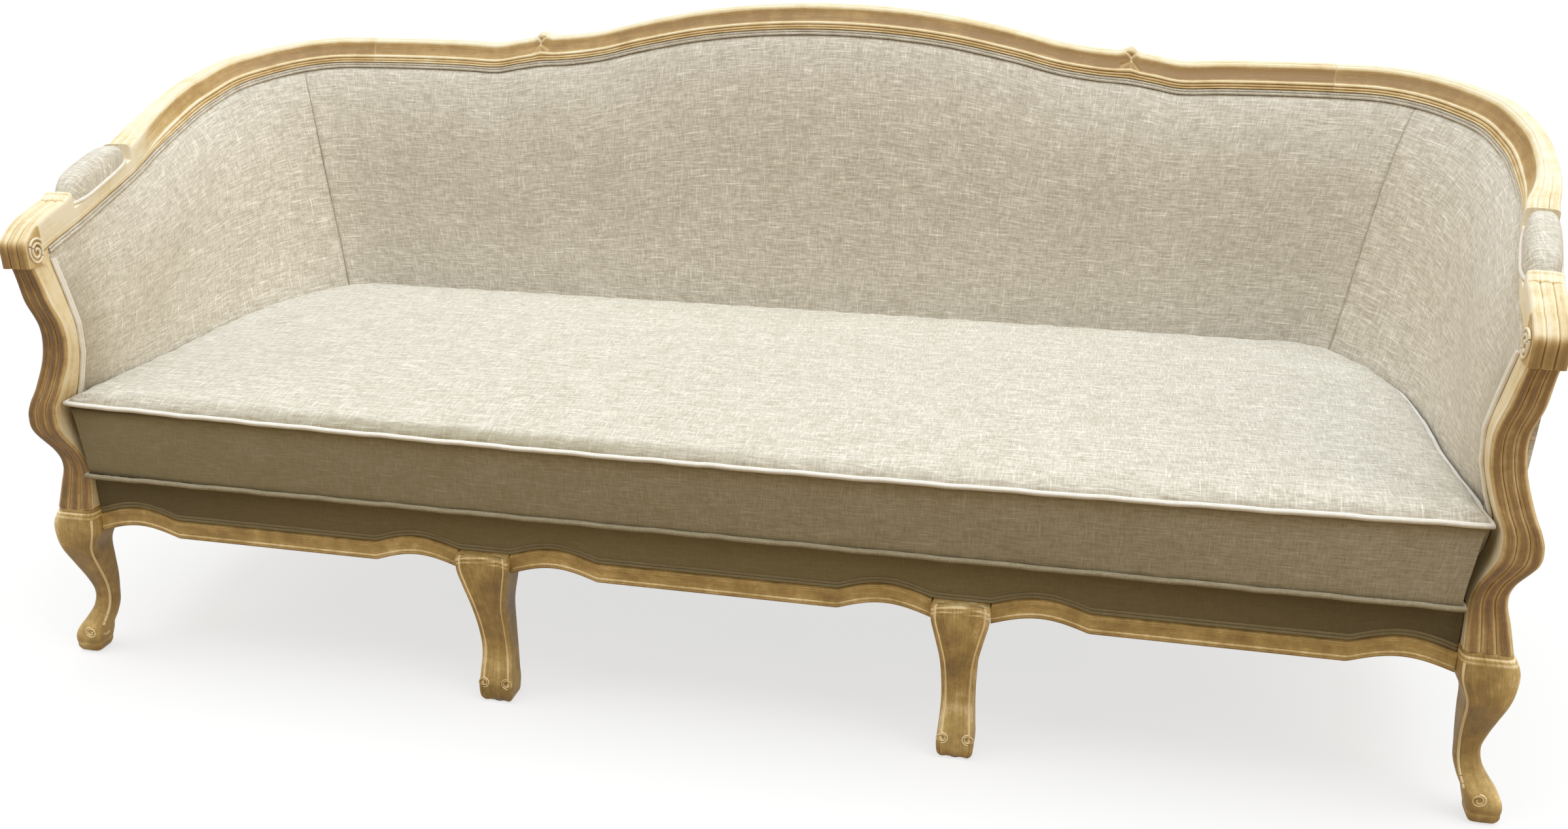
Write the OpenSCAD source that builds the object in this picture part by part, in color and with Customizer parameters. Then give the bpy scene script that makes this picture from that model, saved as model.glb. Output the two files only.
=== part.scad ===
// Three-seat cabriole sofa: a carved show-wood frame on eight legs, padded back and
// arms in one sweep, a sprung deck and one loose bench cushion with a zipped case.
// Millimetres. +X is to the right as seen from the front, +Y to the back, +Z up.
// The origin is on the floor under the middle of the sofa.

/* [Overall] */
// Width across the arms at their widest
sofa_w = 2392; // [2200:4:2600]
// Depth from the arm fronts to the back of the crest
sofa_d = 926; // [890:2:970]
// Height of the crest at the middle
sofa_h = 1033; // [1000:1:1070]
// Height of the arms at their front ends
arm_h = 745; // [720:1:770]
// Height of the cushion's upper seam
seat_h = 474; // [466:1:490]
// Height of the padded front, from the clear height under its rail up to the cushion
front_h = 105.7; // [98:0.1:110]

/* [Show wood] */
// Depth of the crest rail, front to back
crest_t = 50; // [44:1:56]
// Height of the crest rail
crest_rail_h = 43; // [38:1:48]
// Width of the arm rail
arm_t = 45; // [40:1:50]
// Height of the arm rail
arm_rail_h = 46; // [40:1:50]
// Height of the two carved ears above the crest
ear_h = 9; // [5:1:12]
// Width of the arm post at its waist
post_w = 45; // [42:1:50]
// Height of the visible band of the front rail
band_h = 30; // [24:1:34]
// Rise of the scallops beside the front legs
scallop_rise = 16; // [8:1:20]
// Width of each scallop
scallop_w = 140; // [110:5:160]
// Width of the knee of a corner leg
knee_w = 76; // [70:1:80]
// How far a corner foot kicks out past its ankle
kick = 30; // [22:1:34]
// Width of a middle front leg at its top
mid_leg_w = 86; // [76:1:94]
// Distance of the middle legs from the centre
mid_leg_x = 370; // [340:5:400]

/* [Seat frame] */
// Thickness of the seat rails
seat_rail_t = 38; // [32:1:42]
// Diameter of the spring wire
wire_d = 3.8; // [3:0.1:4.4]
// Number of zigzag springs
spring_count = 11; // [7:2:13]
// Diameter of the dowels
dowel_d = 10; // [8:1:12]
// Thickness of the deck padding
deck_foam_t = 22; // [16:1:24]

/* [Upholstery] */
// Height of the cushion between its two seams
cushion_t = 127; // [110:1:134]
// Crown of the cushion above its seam
crown_h = 20; // [12:1:28]
// Radius of the cushion's piping
piping_r = 4; // [3:0.2:4.6]
// Swell of the back and arm padding
pad_swell = 15; // [8:1:18]
// Thickness of the wall, pad to outside cover, at seat level
wall_t = 88; // [80:1:96]
// Diameter of one cord of the double welt
welt_d = 5.6; // [4:0.2:6.4]
// Height of the arm pads over the wood below them
arm_pad_h = 40; // [34:1:46]

/* [Cushion travel] */
// How far the zip runs along the back of the cushion
zip_run = 1200; // [900:20:1400]

/* [Hidden] */

// Fits and clearances
fit = 0.3;
seam_gap = 1.6;
top_gap = 0.8;
overrun = 1;
// Gap at a joint along the wall, in stops
stop_gap = 0.003;

// Colours of limed oak, dark and light, linen and the hidden materials
oak = [0.62, 0.47, 0.29];
oak_dark = [0.53, 0.39, 0.22];
beech = [0.76, 0.62, 0.44];
linen = [0.78, 0.74, 0.67];
linen_shade = [0.6, 0.54, 0.44];
foam = [0.93, 0.88, 0.72];
steel = [0.6, 0.6, 0.62];
felt = [0.18, 0.18, 0.18];

// Levels and main lines
block_lead = 64;
back_lean = 112;
front_y = block_lead - sofa_d / 2;
inner_half = sofa_w / 2 - crest_t;
run = sofa_d - block_lead - crest_t;
seat_run = run - back_lean;
crest_low = sofa_h - crest_rail_h;
arm_low = arm_h - arm_rail_h;
clip_t = 1.2;
cloth_t = 1.4;
deck_top = seat_h - cushion_t - fit;
leg_h = deck_top - front_h;
deck_bottom = deck_top - cloth_t - deck_foam_t;
rail_top = deck_bottom - clip_t - wire_d - fit;
glide_t = 4;
joint_rise = 44;
leg_joint = leg_h + joint_rise;

// The wall line, one row per stop from the middle of the back round to the arm's end:
// shares for the lower inner edge of the rail (x, y, z) and for the seat line (x, y)
wall_shares = [
    [0.000, 1.000, 1.000, 0.000, 1.000], [0.105, 1.000, 0.985, 0.094, 1.000],
    [0.205, 1.000, 0.942, 0.185, 1.000], [0.306, 1.000, 0.866, 0.277, 1.000],
    [0.375, 1.000, 0.801, 0.340, 1.000], [0.436, 1.000, 0.766, 0.396, 1.000],
    [0.484, 1.000, 0.753, 0.440, 1.000], [0.524, 1.000, 0.729, 0.476, 1.000],
    [0.567, 1.000, 0.701, 0.515, 1.000], [0.628, 1.000, 0.708, 0.571, 1.000],
    [0.707, 1.000, 0.711, 0.641, 1.000], [0.790, 0.994, 0.710, 0.716, 1.000],
    [0.855, 0.972, 0.708, 0.777, 0.992], [0.908, 0.937, 0.684, 0.818, 0.955],
    [0.951, 0.887, 0.643, 0.851, 0.880], [0.980, 0.828, 0.598, 0.875, 0.797],
    [0.996, 0.757, 0.529, 0.894, 0.700], [1.000, 0.690, 0.474, 0.903, 0.607],
    [0.997, 0.579, 0.381, 0.907, 0.500], [0.988, 0.493, 0.323, 0.908, 0.414],
    [0.976, 0.426, 0.285, 0.908, 0.350], [0.965, 0.357, 0.247, 0.908, 0.286],
    [0.943, 0.213, 0.182, 0.914, 0.157], [0.930, 0.126, 0.141, 0.918, 0.086],
    [0.915, -0.012, 0.072, 0.921, 0.010], [0.910, -0.049, 0.031, 0.921, -0.020],
    [0.9085, -0.0788, 0.000, 0.921, -0.050]];
last_stop = len(wall_shares) - 1;

// Stops where pieces of the frame and of the cover meet
crest_end = 11;
arm_joint = 20.6;
pad_rear = 20.9;
pad_front = 23.2;
seam_stop = 12.9;
post_stop = 24;
bow_stop = 20.5;
corner_leg_to = 14.35;
// Stops that pads, covers, rails and deck share, so that their edges meet
back_stops = [0, 1, 2, 3, 4, 5, 6, 7, 8, 9, 10, 11, 12, seam_stop];
side_stops = [13.6, corner_leg_to, 15, 16, 17, 18, 19, 20, 21, 22, 23];

// Blends, and a smooth curve through a table of rows
function mix(a, b, s) = a + (b - a) * s;
function limit(s) = max(0, min(1, s));
function ramp(t, a, b) = let (s = limit((t - a) / (b - a))) s * s * (3 - 2 * s);
function curve(a, b, c, d, u) = 0.5 * (2 * b + (c - a) * u + (2 * a - 5 * b + 4 * c - d) * u * u
    + (3 * b - a - 3 * c + d) * u * u * u);
function row_of(rows, i) = rows[max(0, min(len(rows) - 1, i))];
function smooth(rows, t) = let (i = min(floor(t), len(rows) - 2))
    curve(row_of(rows, i - 1), row_of(rows, i), row_of(rows, i + 1), row_of(rows, i + 2), t - i);

// Wall shares at any stop: negative stops are the left half
function wall_row(i) = let (r = wall_shares[min(abs(i), last_stop)])
    i < 0 ? [-r[0], r[1], r[2], -r[3], r[4]] : r;
function wall_share(t) = let (i = floor(t))
    curve(wall_row(i - 1), wall_row(i), wall_row(i + 1), wall_row(i + 2), t - i);
function rail_at(t) = let (s = wall_share(t))
    [s[0] * inner_half, front_y + s[1] * run, mix(arm_low, crest_low, s[2])];
function seat_at(t) = let (s = wall_share(t)) [s[3] * inner_half, front_y + s[4] * seat_run];
// The way out of the wall, square across at the arm's end
function outward(t) = let (h = 0.02, a = rail_at(t - h), b = rail_at(t + h), dx = b.x - a.x,
    dy = b.y - a.y, l = norm([dx, dy]), w = ramp(abs(t), 23.5, last_stop - 1))
    [mix(-dy / l, sign(t), w), mix(dx / l, 0, w)];

// Rail sizes along the wall: the crest rail becomes the slimmer arm rail behind the pads
function rail_w(t) = mix(crest_t, arm_t, ramp(abs(t), 17, 20));
function rail_hgt(t) = mix(crest_rail_h, arm_rail_h, ramp(abs(t), 14, 20));

// A closed skin over rings of equal length, each ring turning left round the way it goes
module skin(rings, strip = false) {
    n = len(rings[0]);
    m = len(rings);
    sides = [for (i = [0:m - 2], j = [0:n - 1]) let (a = i * n + j, b = i * n + (j + 1) % n)
        each [[a, b + n, b], [a, a + n, b + n]]];
    low = strip
        ? [for (j = [0:n / 2 - 2]) each [[j, j + 1, n - 2 - j], [j, n - 2 - j, n - 1 - j]]]
        : [[for (j = [0:n - 1]) j]];
    top = [for (f = low) [for (k = [len(f) - 1:-1:0]) f[k] + (m - 1) * n]];
    polyhedron([for (r = rings) each r], concat(low, sides, top), convexity = 8);
}

// The solid between two levels along Y, and one between two levels along Z
module between_y(y0, y1) {
    translate([0, y1, 0]) rotate([90, 0, 0]) linear_extrude(y1 - y0) children();
}
module between_z(z0, z1) {
    translate([0, 0, z0]) linear_extrude(z1 - z0) children();
}
module both_sides() {
    children();
    mirror([1, 0, 0]) children();
}

// Crest, wing and arm rails

// Rail outlines in shares of the rail's depth and height, lower inner corner first:
// the crest has two beads, a cove and a nose in front, the arm three reeds on top
crest_section_shares = [[0.08, 0], [0.95, 0], [1, 0.1], [1, 0.9], [0.94, 1], [0.56, 1],
    [0.44, 0.95], [0.4, 0.84], [0.28, 0.66], [0.18, 0.42], [0.13, 0.31], [0.07, 0.28],
    [0.05, 0.18], [0.02, 0.15], [0, 0.06]];
arm_section_shares = [[0.08, 0], [0.94, 0], [1, 0.08], [1, 0.86], [0.83, 1], [0.667, 0.92],
    [0.5, 1], [0.333, 0.92], [0.17, 1], [0.04, 0.88], [0.012, 0.72], [0, 0.52], [0.004, 0.32],
    [0.016, 0.17], [0.04, 0.06]];
ear_stop = 6.1;
ear_reach = 0.42;
pad_seat_h = 24;
cuff_rise = 4;

function ear_lift(t) = ear_h * max(0, 1 - abs(abs(t) - ear_stop) / ear_reach);
function pad_cut(t) = abs(t) > pad_rear && abs(t) < pad_front;
function cuff_lift(t) = cuff_rise * max(0, 1 - min(abs(t - pad_rear), abs(t - pad_front)) / 0.3);
function rail_ring(t) = let (p = rail_at(t), o = outward(t), w = rail_w(t), k = ramp(abs(t), 17, 20.5),
    h = pad_cut(t) ? pad_seat_h : rail_hgt(t) + ear_lift(t) + cuff_lift(t))
    [for (i = [0:len(crest_section_shares) - 1])
        let (s = mix(crest_section_shares[i], arm_section_shares[i], k))
        [p.x + o.x * s.x * w, p.y + o.y * s.x * w, p.z + s.y * h]];

crest_stops = [0, 0.5, 1, 1.5, 2, 2.5, 3, 3.5, 4, 4.5, 5, 5.4, 5.7, 5.95, 6.1, 6.25, 6.52, 7, 7.5,
    8, 8.5, 9, 10, 11];
pad_step = 0.02;
dowel_reach = 22;

module crest_rail() {
    color(oak) skin([for (i = [len(crest_stops) - 1:-1:1]) rail_ring(-crest_stops[i]),
        for (t = crest_stops) rail_ring(t)]);
}

module wing_rail() {
    stops = [for (i = [0:18]) mix(crest_end + stop_gap, arm_joint, i / 18)];
    skin([for (t = stops) rail_ring(t)]);
}
module wing_rail_right() { color(oak) wing_rail(); }
module wing_rail_left() { color(oak) mirror([1, 0, 0]) wing_rail(); }

module arm_rail() {
    stops = [arm_joint + stop_gap, pad_rear - pad_step, pad_rear + pad_step, 21.5, 22.05, 22.6,
        pad_front - pad_step, pad_front + pad_step, 23.45, 23.7, 24, 24.4, 24.8, 25.2, 25.6,
        last_stop];
    skin([for (t = stops) rail_ring(t)]);
}
module arm_rail_right() { color(oak) arm_rail(); }
module arm_rail_left() { color(oak) mirror([1, 0, 0]) arm_rail(); }

// Arm posts

// Rows up the post: height, inner face, outer face, front face, as shares of the post's
// height, of its waist width and of its forward bow
post_shares = [[0.000, 0.36, 1.78, 0.52], [0.092, 0.33, 1.58, 0.42], [0.172, 0.31, 1.38, 0.40],
    [0.241, 0.40, 1.42, 0.56], [0.333, 0.64, 1.82, 0.92], [0.395, 0.69, 1.85, 1.00],
    [0.448, 0.64, 1.71, 0.98], [0.517, 0.40, 1.44, 0.84], [0.632, 0.09, 1.11, 0.68],
    [0.747, 0.00, 0.98, 0.72], [0.862, 0.18, 1.20, 0.96], [1.000, 0.44, 1.44, 1.20]];
post_section_shares = [[0, 0.1], [0.17, 0], [0.333, 0.07], [0.5, 0], [0.667, 0.07], [0.83, 0],
    [1, 0.1], [1, 0.92], [0.94, 1], [0.06, 1], [0, 0.92]];
post_bow = 50;
post_base = leg_joint + fit;
post_overhang = 13;
post_x = rail_at(last_stop).x - post_overhang;
post_back_low = 40;

// Height of the arm rail's underside over a place on the post, and the post's back line
function under_arm(y) = rail_at(lookup(y, [[rail_at(26).y, 26], [rail_at(25).y, 25],
    [rail_at(24).y, 24], [rail_at(23).y, 23]])).z;
post_top = under_arm(front_y - post_bow);
function post_z(s) = mix(post_base, post_top, s);
function post_edge(z, side) =
    post_x + post_w * lookup(z, [for (r = post_shares) [post_z(r[0]), r[side]]]);
function post_back(z) = z > seat_h
    ? mix(seat_at(post_stop).y, rail_at(post_stop).y, (z - seat_h) / (rail_at(post_stop).z - seat_h))
    : mix(seat_at(post_stop).y, front_y + post_back_low, (seat_h - z) / (seat_h - post_base));

function post_ring(r, last) = let (z = post_z(r[0]), x0 = post_x + r[1] * post_w,
    x1 = post_x + r[2] * post_w, y0 = front_y - r[3] * post_bow,
    y1 = last ? rail_at(post_stop).y : post_back(z))
    [for (s = post_section_shares) let (y = mix(y0, y1, s.y))
        [mix(x0, x1, s.x), y, last ? under_arm(y) - fit : z]];

module arm_post() {
    n = 2 * (len(post_shares) - 1);
    difference() {
        skin([for (i = [0:n]) post_ring(smooth(post_shares, i / 2), i == n)]);
        translate(post_dowel_at) cylinder(d = dowel_d, h = 2 * dowel_reach, center = true, $fn = 24);
    }
}
post_dowel_at = [post_x + post_w * 1.05, front_y + post_back_low * 0.25, leg_joint];
module arm_post_right() { color(oak) arm_post(); }
module arm_post_left() { color(oak) mirror([1, 0, 0]) arm_post(); }

// Legs

// A leg's rings: rows of height, x, y, width and depth; a square section with cut corners
leg_section_shares = [[-0.34, -0.5], [0.34, -0.5], [0.5, -0.34], [0.5, 0.34], [0.34, 0.5],
    [-0.34, 0.5], [-0.5, 0.34], [-0.5, -0.34]];
function leg_ring(r) = [for (s = leg_section_shares) [r[1] + s.x * r[3], r[2] + s.y * r[4], r[0]]];

// Corner leg rows in shares: height, kick in x and y, width and depth of the knee
corner_leg_shares = [[0, 1, -0.5, 0.49, 0.49], [0.028, 1.03, -0.47, 0.6, 0.57],
    [0.092, 0.97, -0.43, 0.63, 0.61], [0.146, 0.8, -0.37, 0.62, 0.58],
    [0.206, 0.47, -0.2, 0.57, 0.53], [0.288, 0.13, -0.03, 0.49, 0.475],
    [0.384, 0, 0, 0.45, 0.45], [0.484, 0, -0.17, 0.53, 0.53], [0.598, 0.03, -0.5, 0.65, 0.66],
    [0.726, 0.07, -0.83, 0.79, 0.84], [0.833, -0.12, -0.93, 1.013, 0.92],
    [0.918, -0.19, -0.9, 1.02, 0.92], [1, -0.427, -0.83, 0.836, 0.84]];
ankle_out = 60;
ankle_in = 33;
ankle_x = post_x + ankle_out;
ankle_y = front_y + ankle_in;
apron_end = ankle_x - knee_w / 2 - kick * 0.23;

module front_corner_leg() {
    n = 2 * (len(corner_leg_shares) - 1);
    rows = [for (i = [0:n]) let (r = smooth(corner_leg_shares, i / 2))
        [mix(glide_t, leg_joint, r[0]), ankle_x + r[1] * kick, ankle_y + r[2] * kick,
            r[3] * knee_w, r[4] * knee_w]];
    difference() {
        skin([for (r = rows) leg_ring(r)]);
        translate(post_dowel_at) cylinder(d = dowel_d, h = 2 * dowel_reach, center = true, $fn = 24);
        apron_dowels();
    }
}
module front_corner_leg_right() { color(oak_dark) front_corner_leg(); }
module front_corner_leg_left() { color(oak_dark) mirror([1, 0, 0]) front_corner_leg(); }

// Middle leg rows in shares: height, y, width and depth of the leg's top
mid_leg_shares = [[0, 0.3, 0.53, 0.6], [0.03, 0.29, 0.63, 0.7], [0.1, 0.31, 0.66, 0.74],
    [0.17, 0.37, 0.63, 0.68], [0.315, 0.48, 0.58, 0.61], [0.47, 0.42, 0.59, 0.68],
    [0.64, 0.27, 0.66, 0.81], [0.8, 0.19, 0.85, 0.97], [0.906, 0.16, 0.99, 1.03], [1, 0.16, 1, 1]];
mid_leg_d = 62;
tack_in = 4;
tack_y = front_y + tack_in;
rail_back_y = tack_y + seat_rail_t;

module front_mid_leg() {
    n = 2 * (len(mid_leg_shares) - 1);
    rows = [for (i = [0:n]) let (r = smooth(mid_leg_shares, i / 2))
        [mix(glide_t, leg_h + band_h, r[0]), mid_leg_x, front_y + r[1] * mid_leg_d,
            r[2] * mid_leg_w, r[3] * mid_leg_d]];
    difference() {
        union() {
            skin([for (r = rows) leg_ring(r)]);
            between_z(leg_h + band_h - overrun, rail_top)
                translate([mid_leg_x - mid_leg_w / 2, tack_y]) square([mid_leg_w, seat_rail_t]);
        }
        apron_dowels();
    }
}
module front_mid_leg_right() { color(oak_dark) front_mid_leg(); }
module front_mid_leg_left() { color(oak_dark) mirror([1, 0, 0]) front_mid_leg(); }

// Front rail in three bays, each with a scallop beside each leg

bays = [[-apron_end, -mid_leg_x - mid_leg_w / 2], [-mid_leg_x + mid_leg_w / 2,
    mid_leg_x - mid_leg_w / 2], [mid_leg_x + mid_leg_w / 2, apron_end]];
show_lead = 8;
show_y = front_y - show_lead;
function bay_low(bay, x) = let (d = min(x - bay[0], bay[1] - x))
    leg_h + scallop_rise * sin(180 * limit(d / scallop_w));
function bay_xs(bay) = [for (k = [0:6]) bay[0] + scallop_w * k / 6,
    for (k = [0:6]) bay[1] - scallop_w * (6 - k) / 6];

// Dowels between the front rail's bays and the legs, and their two heights
dowel_zs = [leg_h + band_h * 0.55, leg_h + band_h * 1.05];
dowel_y = tack_y + seat_rail_t / 2;
module apron_dowels() {
    for (x = [apron_end, mid_leg_x + mid_leg_w / 2, mid_leg_x - mid_leg_w / 2], z = dowel_zs)
        translate([x, dowel_y, z]) rotate([0, 90, 0])
        cylinder(d = dowel_d, h = 2 * dowel_reach, center = true, $fn = 24);
}

module front_rail(bay) {
    xs = bay_xs(bay);
    low = [for (x = xs) [x, bay_low(bay, x)]];
    difference() {
        union() {
            between_y(show_y, rail_back_y) polygon(concat(low,
                [for (i = [len(xs) - 1:-1:0]) [xs[i], bay_low(bay, xs[i]) + band_h]]));
            between_y(tack_y, rail_back_y) polygon(concat([for (p = low) [p.x, p.y + overrun]],
                [[bay[1], rail_top], [bay[0], rail_top]]));
        }
        both_sides() apron_dowels();
    }
}
module front_rail_left() { color(oak_dark) front_rail(bays[0] + [fit, -fit]); }
module front_rail_center() { color(oak_dark) front_rail(bays[1] + [fit, -fit]); }
module front_rail_right() { color(oak_dark) front_rail(bays[2] + [fit, -fit]); }

// Side and rear seat rails, with the rear legs between them

cover_t = 2.6;
seat_out_step = cover_t + fit;
post_cover = 5;
function wall_low(t) = mix(wall_t, post_w + post_cover, ramp(abs(t), 17.5, 23.5));
function seat_line(t, n) = let (p = seat_at(t), o = outward(t)) p + o * n;
function rail_outline(ts, n_out, n_in) = concat([for (t = ts) seat_line(t, n_out(t))],
    [for (i = [len(ts) - 1:-1:0]) seat_line(ts[i], n_in(ts[i]))]);
low_bow = post_edge(rail_top, 1) - seat_at(post_stop).x;
rail_out = function (t) wall_low(t) - seat_out_step + low_bow * ramp(abs(t), bow_stop, post_stop);
rail_in = function (t) rail_out(t) - seat_rail_t;

side_rail_stops = [corner_leg_to + stop_gap, 15, 16, 17, 18, 19, 20, 21, 22, 23];
side_rail_x = seat_line(23, rail_in(23)).x;
leg_back_y = ankle_y + max([for (r = corner_leg_shares) if (r[0] > 0.8)
    r[2] * kick + r[4] * knee_w / 2]);
module side_seat_rail() {
    out = [for (t = side_rail_stops) seat_line(t, rail_out(t))];
    inn = [for (t = side_rail_stops) seat_line(t, rail_in(t))];
    n = len(out) - 1;
    between_z(leg_h, rail_top) polygon(concat(out, [[out[n].x, leg_back_y + fit],
        [inn[n].x, leg_back_y + fit]], [for (i = [n:-1:0]) inn[i]]));
}
module side_seat_rail_right() { color(oak_dark) side_seat_rail(); }
module side_seat_rail_left() { color(oak_dark) mirror([1, 0, 0]) side_seat_rail(); }

rear_rail_y = front_y + seat_run + wall_t - seat_out_step;
rear_leg_w = 50;
rear_leg_foot_w = 32;
rear_leg_rake = 42;

module rear_seat_rails() {
    half = mid_leg_x - rear_leg_w / 2 - fit;
    color(oak_dark) {
        between_z(leg_h, rail_top) translate([-half, rear_rail_y - seat_rail_t])
            square([2 * half, seat_rail_t]);
        both_sides() rear_side_bay();
    }
}
module rear_side_bay() {
    x0 = mid_leg_x + rear_leg_w / 2 + fit;
    ts = [11, 12, seam_stop - stop_gap];
    between_z(leg_h, rail_top) polygon(concat([[x0, rear_rail_y - seat_rail_t]],
        [for (t = ts) seat_line(t, rail_in(t))],
        [for (i = [len(ts) - 1:-1:0]) seat_line(ts[i], rail_out(ts[i]))], [[x0, rear_rail_y]]));
}

// A rear leg stands under its block in the rail and rakes back in a plain sabre curve
function sabre(s) = pow(1 - s, 1.8);
module rear_mid_leg() {
    rows = [for (s = [0:0.125:1]) [mix(glide_t, leg_h, s), mid_leg_x,
        rear_rail_y - rear_leg_w / 2 + rear_leg_rake * sabre(s),
        mix(rear_leg_foot_w, rear_leg_w, s), mix(rear_leg_foot_w, rear_leg_w, s)]];
    skin([for (r = rows) leg_ring(r)]);
    between_z(leg_h - overrun, rail_top)
        translate([mid_leg_x - rear_leg_w / 2, rear_rail_y - rear_leg_w + fit])
        square([rear_leg_w, rear_leg_w - fit]);
}
module rear_mid_leg_right() { color(oak_dark) rear_mid_leg(); }
module rear_mid_leg_left() { color(oak_dark) mirror([1, 0, 0]) rear_mid_leg(); }

corner_stop = side_stops[0];
module rear_corner_leg() {
    o = outward(corner_stop);
    c = seat_line(corner_stop, rail_out(corner_stop) - rear_leg_w / 2);
    rows = [for (s = [0:0.125:1]) [mix(glide_t, leg_h, s), 0, rear_leg_rake * sabre(s),
        mix(rear_leg_foot_w, rear_leg_w, s), mix(rear_leg_foot_w, rear_leg_w, s)]];
    translate([c.x, c.y, 0]) rotate([0, 0, atan2(o.y, o.x) - 90]) skin([for (r = rows) leg_ring(r)]);
    ts = [seam_stop, corner_stop, corner_leg_to];
    between_z(leg_h - overrun, rail_top) polygon(rail_outline(ts, rail_out, rail_in));
}
module rear_corner_leg_right() { color(oak_dark) rear_corner_leg(); }
module rear_corner_leg_left() { color(oak_dark) mirror([1, 0, 0]) rear_corner_leg(); }

// Foot glides: one plastic disc nailed under each foot
glide_d = 26;
module foot_glides() {
    c = seat_line(corner_stop, rail_out(corner_stop) - rear_leg_w / 2)
        + outward(corner_stop) * rear_leg_rake;
    color(felt) both_sides() for (p = [[ankle_x + kick, ankle_y - kick / 2],
        [mid_leg_x, front_y + mid_leg_shares[0][1] * mid_leg_d],
        [mid_leg_x, rear_rail_y - rear_leg_w / 2 + rear_leg_rake], c])
        translate([p.x, p.y, 0]) cylinder(d = glide_d, h = glide_t, $fn = 32);
}

// Cross rails between the middle legs, corner blocks and their screws

cross_w = 40;
cross_drop = 8;
module seat_cross_rails() {
    color(beech) both_sides() between_z(leg_h + band_h, rail_top - cross_drop)
        translate([mid_leg_x - cross_w / 2, rail_back_y + fit])
        square([cross_w, rear_rail_y - rear_leg_w - rail_back_y - fit]);
}

block_leg = 70;
screw_d = 5;
screw_l = 46;
screw_head_d = 9;
block_zs = [leg_h + band_h, rail_top - cross_drop];
// Corners of the seat frame that hold a block: place and which way the block opens
block_corners = [[[mid_leg_x + cross_w / 2 + fit, rail_back_y + fit], 0],
    [[mid_leg_x - cross_w / 2 - fit, rail_back_y + fit], 90],
    [[mid_leg_x + cross_w / 2 + fit, rear_rail_y - rear_leg_w], -90],
    [[mid_leg_x - cross_w / 2 - fit, rear_rail_y - rear_leg_w], 180],
    [[side_rail_x - fit, rail_back_y + fit], 90]];
module screw_shape(grow) {
    translate([0, 0, -screw_l / 2]) cylinder(d = screw_d + grow, h = screw_l, $fn = 24);
    translate([0, 0, screw_l / 2 - overrun / 2])
        cylinder(d = screw_head_d + grow, h = screw_d, $fn = 24);
}
module block_screw(c, grow) {
    translate([c[0].x, c[0].y, (block_zs[0] + block_zs[1]) / 2]) rotate([0, 0, c[1]])
        translate([block_leg * 0.3, block_leg * 0.3, 0]) rotate([0, 0, 45]) rotate([0, 90, 0])
        screw_shape(grow);
}
module corner_blocks() {
    color(beech) both_sides() for (c = block_corners) difference() {
        translate([c[0].x, c[0].y, 0]) rotate([0, 0, c[1]])
            between_z(block_zs[0], block_zs[1])
            polygon([[0, 0], [block_leg, 0], [0, block_leg]]);
        block_screw(c, 2 * fit);
    }
}
module block_screws() {
    color(steel) both_sides() for (c = block_corners) block_screw(c, 0);
}

// Dowels of the front rail and of the arm posts
module frame_dowels() {
    color(beech) both_sides() {
        for (x = [apron_end, mid_leg_x + mid_leg_w / 2, mid_leg_x - mid_leg_w / 2], z = dowel_zs)
            translate([x, dowel_y, z]) rotate([0, 90, 0])
            cylinder(d = dowel_d - fit, h = 2 * (dowel_reach - fit), center = true, $fn = 24);
        translate(post_dowel_at)
            cylinder(d = dowel_d - fit, h = 2 * (dowel_reach - fit), center = true, $fn = 24);
    }
}

// The wall: pads, uprights, webbing and covers between the seat line and the rail

// A point of the wall: v is 0 at the seat line, 1 under the rail and -1 on the seat rails,
// n is its distance outward. Near the arm's end the wall follows the bowed post
function wall_z(t, v) = v < 0 ? mix(seat_h, rail_top + fit, -v)
    : mix(seat_h, rail_at(t).z - top_gap, v);
function wall_pt(t, v, n) = let (b = seat_at(t), r = rail_at(t), o = outward(t), z = wall_z(t, v),
    p = mix(b, [r.x, r.y], max(0, v)) + o * n, w = ramp(abs(t), bow_stop, post_stop),
    straight = mix(seat_at(post_stop).x, rail_at(post_stop).x, max(0, v)),
    bow = w * (post_edge(z, 1) + post_step - straight) * sign(t))
    [p.x + bow, p.y, z];
post_step = 1;
// Thickness of the pads at the seat and under the rail, the least room for the frame
// behind them, and how far the covers stand in from the rail's outside
pad_low_t = 45;
pad_top_t = 22;
frame_gap = 14;
cover_in_gap = 3;
function pad_back(v) = mix(pad_low_t, pad_top_t, limit(v));
function pad_back_at(t, v) = min(pad_back(v), wall_out(t, v) - cover_t - 2 * fit - frame_gap);
function wall_out(t, v) = mix(wall_low(t), rail_w(t) - cover_in_gap, limit(v));
// The pad's face swells inward, less towards the post, and steps back behind the welt
function welt_v(t) = 1 - (2 * welt_d + 8 * fit) / (rail_at(t).z - seat_h);
welt_gap = 1.7;
bow_gap = 2;
function lean_at(t) = let (b = seat_at(t), r = rail_at(t), o = outward(t))
    (r.x - b.x) * o.x + (r.y - b.y) * o.y;
function pad_face(t, v) = v > welt_v(t) + 0.001
    ? welt_d * 0.95 + back_welt_n + welt_gap + lean_at(t) * (1 - v)
        + bow_gap * ramp(abs(t), bow_stop, post_stop)
    : -pad_swell * sin(180 * limit((v / welt_v(t) - 0.1) / 0.88)) * (1 - ramp(abs(t), 21, 23));

same_level = function (t, v) v;
module wall_panel(ts, vs, f_in, f_out, follow = false, level = same_level) {
    n = len(ts) - 1;
    skin([for (i = [0:n]) let (t = ts[i], us = [for (v = vs) level(t, v)])
        concat([for (u = us) panel_pt(t, u, f_out(t, u), follow && i == n)],
            [for (k = [len(us) - 1:-1:0]) panel_pt(t, us[k], f_in(t, us[k]), follow && i == n)])],
        strip = true);
}
function mirrored(ts) = concat([for (i = [len(ts) - 1:-1:1]) -ts[i]], ts);
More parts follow.
